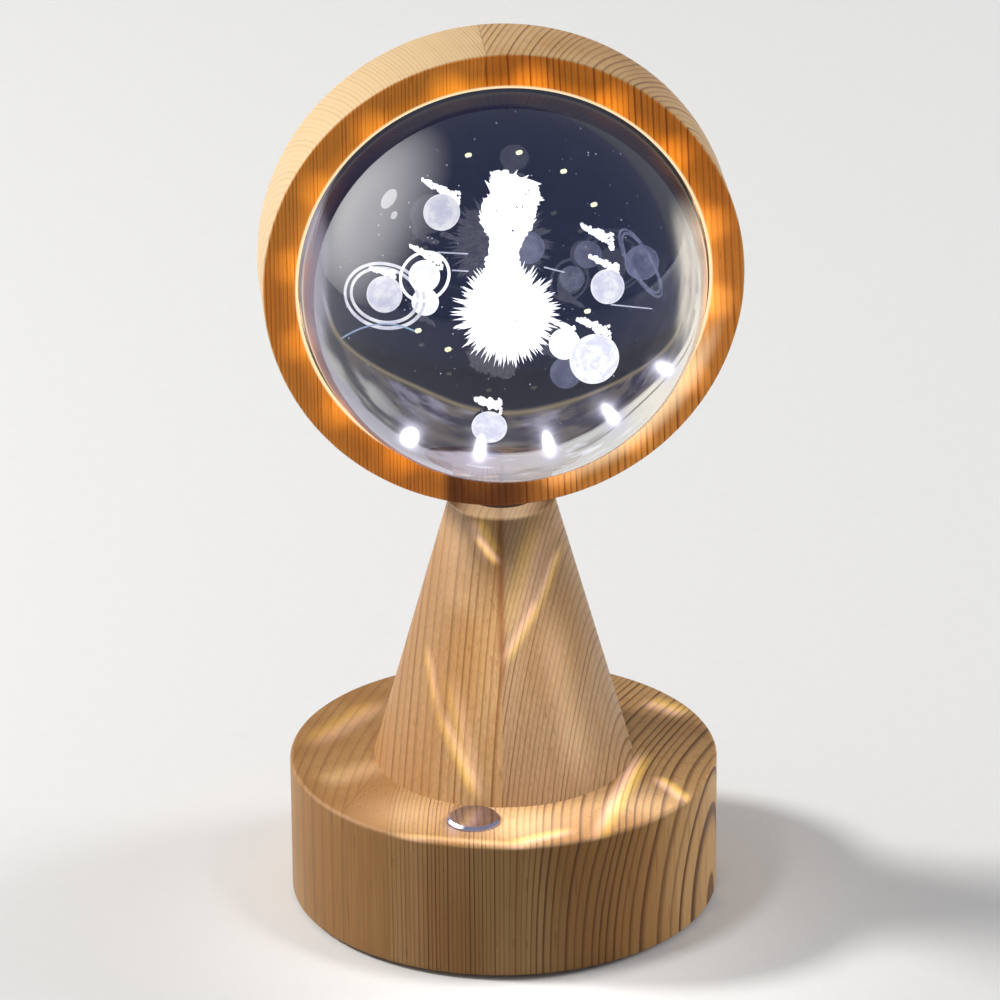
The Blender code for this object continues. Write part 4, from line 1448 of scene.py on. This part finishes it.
@dataclass
class Engraving:
    """The sun, its flame, the planets and the dust inside the ball, with painted images of the LEDs, painted
    glints and painted reflections of planets.
    """

    ior: float = 1.52
    sun_at: Point = (0.0008, -0.0068)
    sun_core: float = 0.0073
    sun_tip: float = 0.0114
    rays: int = 440
    ray_width: float = 0.00058
    flame_foot: float = 0.0010
    flame_rise: float = 0.0195
    puffs: int = 1500
    licks: int = 50
    ring_steps: int = 84
    drift_grains: int = 170
    dust_grains: int = 170
    dust_reach: float = 0.034
    seed: int = 7

    def __post_init__(self) -> None:
        """Find the ball and the directions it is looked into from."""
        self.centre, self.radius = centre_of("crystal_ball")
        self.right, self.up, self.out = VIEW.axes()

    def place(self, across: float, up: float, depth: float = 0.0) -> tuple[Vector, float]:
        """Find where a figure must lie to look as if it were at a given place.

        Args:
            across: Apparent place to the right of the ball's centre.
            up: Apparent place above it.
            depth: Real distance in front of the ball's middle.

        Returns:
            The real place from the ball's centre, and the real size per apparent size there.
        """
        height = max(math.hypot(across, up), 1e-5)
        enter = math.asin(height / self.radius)
        bend = enter - math.asin(height / self.radius / self.ior)
        travel = (self.radius * math.cos(enter) - depth) / math.cos(bend)
        share = (height - travel * math.sin(bend)) / height
        return (self.right * across + self.up * up) * share + self.out * depth, share

    def grain(self, bm: BMesh, at: Vector, radius: float, detail: int = 1) -> None:
        """Add a small sphere."""
        bmesh.ops.create_icosphere(bm, subdivisions=detail, radius=radius, matrix=Matrix.Translation(at))

    def corners(self, bm: BMesh, at: Vector, side: Vector, other: Vector) -> list[bmesh.types.BMVert]:
        """Four points round a place."""
        return [bm.verts.new(at + way) for way in (side, other, -side, -other)]

    def spike(self, bm: BMesh, foot: Vector, tip: Vector, width: float) -> None:
        """Add a thin four-sided spike.

        Args:
            bm: What it is added to.
            foot: Middle of its foot.
            tip: Its tip.
            width: Half the width of its foot.
        """
        side = (tip - foot).orthogonal().normalized() * width
        corners = self.corners(bm, foot, side, (tip - foot).normalized().cross(side))
        point = bm.verts.new(tip)
        bm.faces.new(list(reversed(corners)))
        for k in range(4):
            bm.faces.new((corners[k], corners[(k + 1) % 4], point))

    def wire(self, bm: BMesh, points: Sequence[Vector], thick: float, closed: bool = False) -> None:
        """Add a thin wire along points.

        Args:
            bm: What it is added to.
            points: The points.
            thick: Half its thickness.
            closed: Whether its last point joins its first.
        """
        loops = []
        count = len(points)
        for k, point in enumerate(points):
            before = points[k - 1 if closed or k else 0]
            after = points[(k + 1) % count if closed else min(k + 1, count - 1)]
            ahead = (after - before).normalized()
            side = ahead.cross(self.out).normalized() * thick
            loops.append(self.corners(bm, point, side, ahead.cross(side)))
        for k in range(count if closed else count - 1):
            here, after = loops[k], loops[(k + 1) % count]
            for j in range(4):
                bm.faces.new((here[j], after[j], after[(j + 1) % 4], here[(j + 1) % 4]))

    def finish(self, bm: BMesh, finish: InnerGlowFinish) -> None:
        """Turn a bmesh into a piece inside the ball, at the ball's centre: engraved, or painted light.

        Args:
            bm: What was drawn.
            finish: Its finish, which also names the piece.
        """
        mesh = bpy.data.meshes.new(finish.name)
        bm.to_mesh(mesh)
        bm.free()
        mesh.shade_smooth()
        dress(make_object(mesh, self.centre), Body.HEAD, "led_white", material=finish.build())

    def sun(self) -> None:
        """A round core with spikes of uneven length all over it."""
        at, share = self.place(*self.sun_at)
        draw = random.Random(self.seed)
        bm = bmesh.new()
        self.grain(bm, at, self.sun_core * share, 4)
        for k in range(self.rays):
            level = 1 - 2 * (k + 0.5) / self.rays
            turn = k * math.pi * (3 - math.sqrt(5))
            flat = math.sqrt(1 - level * level)
            way = Vector((flat * math.cos(turn), flat * math.sin(turn), level))
            way = (way + Vector((draw.uniform(-0.09, 0.09) for _ in range(3)))).normalized()
            tip = self.sun_core + (self.sun_tip - self.sun_core) * draw.uniform(0.45, 1.0)
            foot = at + way * self.sun_core * share * 0.9
            self.spike(bm, foot, at + way * tip * share, self.ray_width * share)
        self.finish(bm, InnerGlowFinish("engraved_sun", (1.7, 1.7, 1.9), (0.92, 0.92, 1.05)))

    def flame_place(self, rise: float, lean: float, depth: float = 0.0) -> tuple[Vector, float]:
        """Find a point of the flame.

        Args:
            rise: Height in the flame, from 0 to 1.
            lean: Place across it, from -1 to 1.
            depth: Real distance in front of the ball's middle.

        Returns:
            The real place from the ball's centre, and the real size per apparent size there.
        """
        low, high = next(pair for pair in zip(FLAME, FLAME[1:]) if rise <= pair[1][0])
        share = (rise - low[0]) / (high[0] - low[0])
        middle, half = (low[k] + (high[k] - low[k]) * share for k in (1, 2))
        return self.place(middle + half * lean, self.flame_foot + self.flame_rise * rise, depth)

    def flame(self) -> None:
        """A tongue of flame that stands on the sun, built up of fine puffs."""
        draw = random.Random(self.seed + 1)
        bm = bmesh.new()
        for k in range(self.puffs):
            rise = (k + 0.5) / self.puffs
            at, share = self.flame_place(rise, draw.uniform(-1.0, 1.0), draw.uniform(-0.002, 0.002))
            self.grain(bm, at, draw.uniform(0.00030, 0.00060) * share)
        for number in range(self.licks):
            rise, lean = draw.uniform(0.42, 0.97), draw.choice((-1, 1)) * draw.uniform(0.75, 1.0)
            reach = 0.0012 if number % 10 else 0.0024
            foot, share = self.flame_place(rise, lean)
            away = (self.right * lean * draw.uniform(0.3, 1.2) + self.up * draw.uniform(-0.4, 1.2)) * reach
            self.spike(bm, foot, foot + away * share, 0.35 * reach * share)
        self.finish(bm, InnerGlowFinish("engraved_flame", (1.7, 1.7, 1.9), (1.3, 1.28, 1.4)))

    def planet_ring(self, bm: BMesh, at: Vector, radius: float, planet: Planet) -> None:
        """Add a flat ring of fine wire round a planet, seen from a little above.

        Args:
            bm: What it is added to.
            at: Real place of the planet.
            radius: Real radius of the ring.
            planet: The planet.
        """
        lean = math.radians(planet.tilt)
        major = self.right * math.cos(lean) - self.up * math.sin(lean)
        minor = (self.up * math.cos(lean) + self.right * math.sin(lean)) * planet.open
        minor += self.out * math.sqrt(1 - planet.open**2)
        turns = [math.tau * k / self.ring_steps for k in range(self.ring_steps)]
        points = [at + (major * math.cos(a) + minor * math.sin(a)) * radius for a in turns]
        self.wire(bm, points, planet.kind.value[3], closed=True)

    def planets(self) -> None:
        """Each planet with its rings, the painted reflections too."""
        for number, planet in enumerate(PLANETS, start=1):
            at, share = self.place(planet.across, planet.up, planet.depth)
            bm = bmesh.new()
            self.grain(bm, at, planet.size * share, 4)
            for radius in planet.rings:
                self.planet_ring(bm, at, radius * share, planet)
            light, shade = (tuple(Vector(look) * planet.glow) for look in planet.kind.value[:2])
            name, scale = f"engraved_planet_{number:02d}", 330.0 + 30.0 * number
            self.finish(bm, InnerGlowFinish(name, light, shade, scale, planet.kind.value[2]))

    def drifts(self) -> None:
        """Ragged drifts of bright grains over the planets."""
        draw = random.Random(self.seed + 2)
        bm = bmesh.new()
        for drift in DRIFTS:
            for _ in range(self.drift_grains):
                along, off = draw.uniform(-1.0, 1.0), draw.uniform(-0.5, 0.5)
                thick = drift.thick * (0.62 + 0.38 * along) * (1.0 + 0.30 * math.sin(along * 9.0))
                across, up = drift.across + drift.reach * along, drift.up - drift.fall * along + thick * off
                at, share = self.place(across, up, 0.003)
                self.grain(bm, at, draw.uniform(0.00018, 0.00040) * share)
        self.finish(bm, InnerGlowFinish("engraved_drifts", (1.5, 1.5, 1.7), (1.0, 1.0, 1.15)))

    def dust(self) -> None:
        """Painted images of the far LEDs, a painted glint, orbit lines with one more painted glint among
        them, and fine dust through the ball.
        """
        draw = random.Random(self.seed + 3)
        bm = bmesh.new()
        for across, up in SPARKS:
            for k in (-1, 0, 1):
                at, share = self.place(across + 0.00022 * k, up + 0.00006 * k)
                self.grain(bm, at, 0.00046 * share, 2)
        self.finish(bm, InnerGlowFinish("led_image_sparks", (1.0, 1.10, 0.55), (1.2, 1.2, 0.95)))
        bm = bmesh.new()
        self.wire(bm, [self.place(*point)[0] for point in GLINT], 0.00012)
        self.finish(bm, InnerGlowFinish("painted_glint", (0.26, 0.45, 0.62), (0.30, 0.36, 0.58), 200.0, 0.6))
        bm = bmesh.new()
        for ends in ORBITS:
            self.wire(bm, [self.place(*end)[0] for end in ends], 0.00009)
        for _ in range(self.dust_grains):
            reach, turn = self.dust_reach * math.sqrt(draw.random()), draw.uniform(0, math.tau)
            across, up = reach * math.cos(turn), reach * math.sin(turn)
            at, share = self.place(across, up, draw.uniform(-0.015, 0.015))
            self.grain(bm, at, draw.choice((0.00008, 0.00010, 0.00015)) * share)
        self.finish(bm, InnerGlowFinish("engraved_dust", (0.60, 0.62, 0.78), (0.40, 0.42, 0.60)))

    def build(self) -> None:
        """Engrave everything."""
        for engrave in (self.sun, self.flame, self.planets, self.drifts, self.dust):
            engrave()


@dataclass
class ConeStem:
    """The turned cone and the swivel washer on it."""

    bottom: float = 0.02625
    top: float = 0.0106
    edge: float = 0.0005
    washer: float = 0.0070
    washer_edge: float = 0.0004
    washer_steps: int = 128

    def build(self) -> None:
        """Turn the cone and the washer."""
        low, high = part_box("cone_stem")
        outline = [
            (BOLT_BORE, low.z - GAP),
            (self.bottom, low.z - GAP),
            *rounded((self.top - self.edge * 0.8, high.z - self.edge), self.edge, 15, 90),
            (BOLT_BORE, high.z),
        ]
        dress(make_object(lathe("cone_wood", outline)), Body.BASE, "cone_wood", ["cone_stem"])
        low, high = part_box("swivel_washer")
        edge = self.washer_edge
        outline = [
            (BOLT_BORE, low.z),
            *rounded((self.washer - edge, low.z + edge), edge, -90, 0),
            *rounded((self.washer - edge, high.z - edge), edge, 0, 90),
            (BOLT_BORE, high.z),
        ]
        washer = lathe("swivel_ring", outline, self.washer_steps)
        dress(make_object(washer), Body.BASE, "nylon", ["swivel_washer"])


@dataclass
class RoundBase:
    """The turned base with its touch disc and charging port."""

    cavity: float = 0.0366
    rebate: float = 0.0400
    shoulder: float = 0.0035
    roof: float = 0.0060
    edge: float = 0.0009
    lower_edge: float = 0.0005
    disc_seat: float = 0.0006
    disc_steps: int = 160
    chamfer: float = 0.0006
    stud: float = 0.00175
    port_corner: float = 0.0027
    bezel_corners: Point = (0.0024, 0.0016)
    opening_less: Point = (0.0030, 0.0028)
    port_cut: Point = (0.030, 0.050)
    lip_lap: float = 0.0004
    socket_round: float = 0.46
    socket_less: Triple = (0.0, 0.0002, 0.0006)
    tongue_share: float = 0.72
    tongue_back: float = 0.0006
    wall_less: float = 0.0008
    wall_thick: float = 0.0015

    def build(self) -> None:
        """Turn the base, cut its seats, and add the disc and the port."""
        low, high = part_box("base_body")
        radius = (high.x - low.x) / 2
        outline = [
            (BOLT_BORE, high.z),
            *rounded((radius - self.edge, high.z - self.edge), self.edge, 90, 0),
            *rounded((radius - self.lower_edge, low.z + self.lower_edge), self.lower_edge, 0, -90),
            (self.rebate, low.z),
            (self.rebate, low.z + self.shoulder),
            (self.cavity, low.z + self.shoulder),
            (self.cavity, high.z - self.roof),
            (BOLT_BORE, high.z - self.roof),
        ]
        base = make_object(lathe("base_wood", outline))
        disc_low, disc_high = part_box("touch_disc")
        disc, y = (disc_high.x - disc_low.x) / 2, (disc_low.y + disc_high.y) / 2
        port_low, port_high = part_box("usb_bezel")
        size = port_high - port_low
        hole = soft_box(size.x + 2 * GAP, size.z + 2 * GAP, self.port_corner)
        cutters = [
            cylinder(disc + GAP, high.z - self.disc_seat, high.z + OVERSHOOT, y),
            cylinder(self.stud + GAP, high.z - self.roof - OVERSHOOT, high.z + OVERSHOOT, y),
            make_object(
                extrusion("cutter", hole, *self.port_cut),
                (0.0, 0.0, (port_low.z + port_high.z) / 2),
            ),
        ]
        dress(carve(base, cutters), Body.BASE, "base_wood", ["base_body"])
        self.touch_disc(high.z)
        self.charging_port()

    def touch_disc(self, wood: float) -> None:
        """Turn the polished disc, with a bright chamfer.

        Args:
            wood: Height of the wood round it.
        """
        low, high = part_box("touch_disc")
        radius, y, top = (high.x - low.x) / 2, (low.y + high.y) / 2, high.z
        outline = [
            (0.0, low.z),
            (self.stud, low.z),
            (self.stud, wood - GAP),
            (radius, wood - GAP),
            (radius, top - self.chamfer),
            (radius - self.chamfer * 0.15, top - self.chamfer * 0.75),
            (radius - self.chamfer * 0.9, top - 0.00005),
            *[((radius - self.chamfer) * (1 - k / 6), top) for k in range(1, 7)],
        ]
        disc = lathe("touch_plate", outline, self.disc_steps, closed=False)
        dress(make_object(disc, (0.0, y, 0.0)), Body.BASE, "polished_metal", ["touch_disc"])

    def charging_port(self) -> None:
        """The bezel in the wall, the lip behind it, and the metal socket with its tongue."""
        low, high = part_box("usb_bezel")
        at = (0.0, 0.0, (low.z + high.z) / 2)
        width, height, rear = high.x - low.x, high.z - low.z, low.y
        outer = soft_box(width, height, self.bezel_corners[0])
        inner = soft_box(width - self.opening_less[0], height - self.opening_less[1], self.bezel_corners[1])
        bezel = extrusion("port_bezel", outer, rear, high.y, inner)
        low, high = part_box("usb_socket")
        width, height = high.x - low.x, high.z - low.z
        outer, mouth, hollow = (
            soft_box(width - less, height - less, (height - less) * self.socket_round)
            for less in self.socket_less
        )
        lip = extrusion("port_lip", inner, high.y, rear + self.lip_lap, mouth)
        shell = extrusion("socket_shell", outer, low.y, high.y, hollow)
        tongue = soft_box(width * self.tongue_share, 0.0007, 0.0003, 3)
        wall = soft_box(width - self.wall_less, height - self.wall_less, 0.0010)
        tongue = extrusion("socket_tongue", tongue, low.y, high.y - self.tongue_back)
        wall = extrusion("socket_wall", wall, low.y, low.y + self.wall_thick)
        dress(make_object(bezel, at), Body.BASE, "black_plastic", ["usb_bezel"])
        dress(make_object(lip, at), Body.BASE, "black_plastic")
        dress(make_object(shell, at), Body.BASE, "plated_steel", ["usb_socket"])
        for mesh in (tongue, wall):
            dress(make_object(mesh, at), Body.BASE, "chip_black")


@dataclass(frozen=True)
class Lamp:
    """A soft round lamp.

    Attributes:
        name: Its name.
        way: Its direction from what it looks at, along the camera's right, up and back.
        distance: Its distance from there.
        size: Its diameter.
        power: Its power in watts.
        colour: Its colour.
        mirrored: Whether glass and metal mirror it.
    """

    name: str
    way: Triple
    distance: float
    size: float
    power: float
    colour: Triple = ONES
    mirrored: bool = True

    def build(self, aim: Vector) -> None:
        """Hang the lamp so that it looks at a point."""
        self.hang(aim + VIEW.along(self.way) * self.distance, aim)

    def hang(self, at: Vector, aim: Vector) -> Object:
        """Hang the lamp at a given place.

        Args:
            at: Where it hangs.
            aim: What it looks at.

        Returns:
            The lamp.
        """
        data = bpy.data.lights.new(self.name, "AREA")
        data.shape, data.size, data.energy, data.color = "DISK", self.size, self.power, self.colour
        lamp = bpy.data.objects.new(self.name, data)
        bpy.context.scene.collection.objects.link(lamp)
        lamp.location = at
        lamp.rotation_mode = "QUATERNION"
        lamp.rotation_quaternion = (aim - at).to_track_quat("-Z", "Y")
        lamp.visible_camera = lamp.visible_transmission = False
        lamp.visible_glossy = self.mirrored
        return lamp


@dataclass
class StudioStage:
    """A pale floor, a pale surround and soft lamps."""

    floor_size: float = 8.0
    floor_drop: float = 0.00005
    surround: float = 0.38
    ambient: float = 0.27
    card_way: Triple = (-0.88, 0.46, 0.04)
    card_radius: float = 0.72
    card_away: float = 0.75
    card_light: float = 7.2
    aim: Triple = (0.0, 0.0, 0.09)
    lamps: tuple[Lamp, ...] = (
        Lamp("key_lamp", (-0.780, 0.600, 0.163), 2.4, 0.48, 42.0, (1.0, 0.98, 0.95), mirrored=False),
        Lamp("side_lamp", (0.85, 0.35, -0.12), 2.4, 0.90, 28.0, (0.95, 0.97, 1.0), mirrored=False),
        Lamp("spot_lamp", (-0.802, 0.553, 0.160), 0.6, 0.095, 0.16),
        Lamp("small_lamp", (-0.826, 0.467, 0.318), 0.6, 0.040, 0.03),
    )
    throw: Lamp = Lamp("crystal_throw", ZERO, 0.0, 0.016, 0.010, (1.0, 0.98, 0.95), mirrored=False)
    throw_way: Point = (0.74, -0.76)
    throw_gap: float = 0.003
    throw_aim: Triple = (0.010, -0.032, 0.030)
    throw_spread: float = math.radians(80.0)

    def floor(self) -> None:
        """The floor, just under the foot pad."""
        half = self.floor_size / 2
        verts = [(half * sx, half * sy, 0.0) for sx, sy in QUARTERS]
        floor = make_object(mesh_of("floor", verts, [(0, 1, 2, 3)]), (0.0, 0.0, -self.floor_drop))
        material, nodes, shader = new_material("floor_paper")
        speck = nodes.noise(nodes.place(), 300.0, 3.0)
        bounce = nodes.add("LightPath", output="Is Diffuse Ray")
        paper = nodes.paint((0.93, 0.93, 0.93), (speck, (0.90, 0.90, 0.90)), (bounce, (0.40, 0.40, 0.40)))
        nodes.plug(shader["Base Color"], paper)
        shader["Roughness"].default_value = 0.9
        floor.data.materials.append(material)

    def world(self) -> None:
        """A pale surround for what is seen, mirrored or looked through, and a softer one for light."""
        world = bpy.data.worlds.new("surround")
        bpy.context.scene.world = world
        world.use_nodes = True
        nodes = Tree(world.node_tree)
        back = world.node_tree.nodes["Background"]
        camera, glossy, through = (
            nodes.add("LightPath", output=f"Is {kind} Ray") for kind in ("Camera", "Glossy", "Transmission")
        )
        seen = camera.at_least(glossy).at_least(through)
        nodes.plug(back.inputs["Strength"], seen.fade(self.ambient, self.surround))
        back.inputs["Color"].default_value = (1.0, 1.0, 1.0, 1.0)

    def card(self) -> None:
        """A big soft-edged lit card, whose image fills the ball's upper left."""
        way = VIEW.along(self.card_way)
        card = make_object(lathe("soft_card", [(0.0, 0.0), (self.card_radius, 0.0)], 64, closed=False))
        card.rotation_mode = "QUATERNION"
        card.location = Vector(self.aim) + way * self.card_away
        card.rotation_quaternion = (-way).to_track_quat("Z", "Y")
        material, nodes, shader = new_material("soft_card")
        reach = nodes.measure("LENGTH", nodes.place())
        cloud = nodes.noise(nodes.place(), 4.0)
        lit = reach.ramp(self.card_radius, self.card_radius * 0.15, self.surround / self.card_light, 1.0)
        lit = lit * (cloud * reach).ramp(0.0, 0.5, 1.0, 0.9)
        nodes.plug(shader["Emission Color"], nodes.scaled((1.0, 0.985, 0.97), lit))
        shader["Emission Strength"].default_value = self.card_light
        shader["Base Color"].default_value = (0.0, 0.0, 0.0, 1.0)
        card.data.materials.append(material)
        card.visible_camera = card.visible_transmission = card.visible_shadow = False
        card.visible_diffuse = False

    def thrown(self) -> None:
        """The light that the lit crystal throws down on the base and the cone."""
        centre, radius = centre_of("crystal_ball")
        ahead = Vector((math.sin(HEAD_YAW), -math.cos(HEAD_YAW), 0.0))
        forward, rise = self.throw_way
        at = centre + (ahead * forward + Vector((0.0, 0.0, rise))) * (radius + self.throw_gap)
        lamp = self.throw.hang(at, Vector(self.throw_aim))
        lamp.data.spread = self.throw_spread
        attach(lamp, Body.HEAD.value)

    def build(self) -> None:
        """Set the stage."""
        self.floor()
        self.world()
        self.card()
        for lamp in self.lamps:
            lamp.build(centre_of("crystal_ball")[0] if lamp.mirrored else Vector(self.aim))
        self.thrown()


@dataclass(frozen=True)
class PhotoView:
    """The camera, at the photograph's viewing angle."""

    azimuth: float = math.radians(10.7)
    elevation: float = math.radians(23.45)
    roll: float = math.radians(-0.41)
    distance: float = 1.2272
    aim_height: float = 0.08514
    aside: float = -0.00033
    lens: float = 221.27
    sensor: float = 36.0

    def axes(self) -> tuple[Vector, Vector, Vector]:
        """Find the camera's directions.

        Returns:
            Its right, up and backward directions.
        """
        turn = Matrix.Rotation(self.azimuth, 3, "Z")
        out = turn @ Vector((0.0, -math.cos(self.elevation), math.sin(self.elevation)))
        level = turn @ Vector((1.0, 0.0, 0.0))
        right = level * math.cos(self.roll) + out.cross(level) * math.sin(self.roll)
        return right, out.cross(right), out

    def turn(self) -> Matrix:
        """The camera's rotation."""
        return Matrix(self.axes()).transposed().to_4x4()

    def along(self, way: Triple) -> Vector:
        """The direction that lies some way right, up and back."""
        right, up, out = self.axes()
        return (right * way[0] + up * way[1] + out * way[2]).normalized()

    def build(self) -> None:
        """Make the camera and use it."""
        aside = Matrix.Rotation(self.azimuth, 3, "Z") @ Vector((self.aside, 0.0, 0.0))
        at = aside + Vector((0.0, 0.0, self.aim_height)) + self.axes()[2] * self.distance
        data = bpy.data.cameras.new("photo_camera")
        data.lens, data.sensor_width = self.lens, self.sensor
        data.clip_start, data.clip_end = 0.05, 30.0
        camera = bpy.data.objects.new("photo_camera", data)
        bpy.context.scene.collection.objects.link(camera)
        camera.matrix_world = Matrix.Translation(at) @ self.turn()
        bpy.context.scene.camera = camera


VIEW = PhotoView()


def dress_frame() -> None:
    """Give every frame node that still shows the finish of its slot."""
    for part in frame["record"]["subparts"]:
        node, slot = frame["nodes"][part["node"]], part["material_slot"]
        if node.hide_render:
            continue
        for holder in node.material_slots:
            holder.material = material_of(slot)
        LOG.info("%s keeps its shape, in %s", node.name, slot)


def main() -> None:
    """Build the night light and its stage."""
    for part in (RingHead(), CrystalBall(), Engraving(), ConeStem(), RoundBase(), StudioStage(), VIEW):
        LOG.info("building %s", type(part).__name__)
        part.build()
    dress_frame()
    bpy.context.scene.view_settings.view_transform = "Standard"
    bpy.context.view_layer.update()


if __name__ == "__main__":
    main()
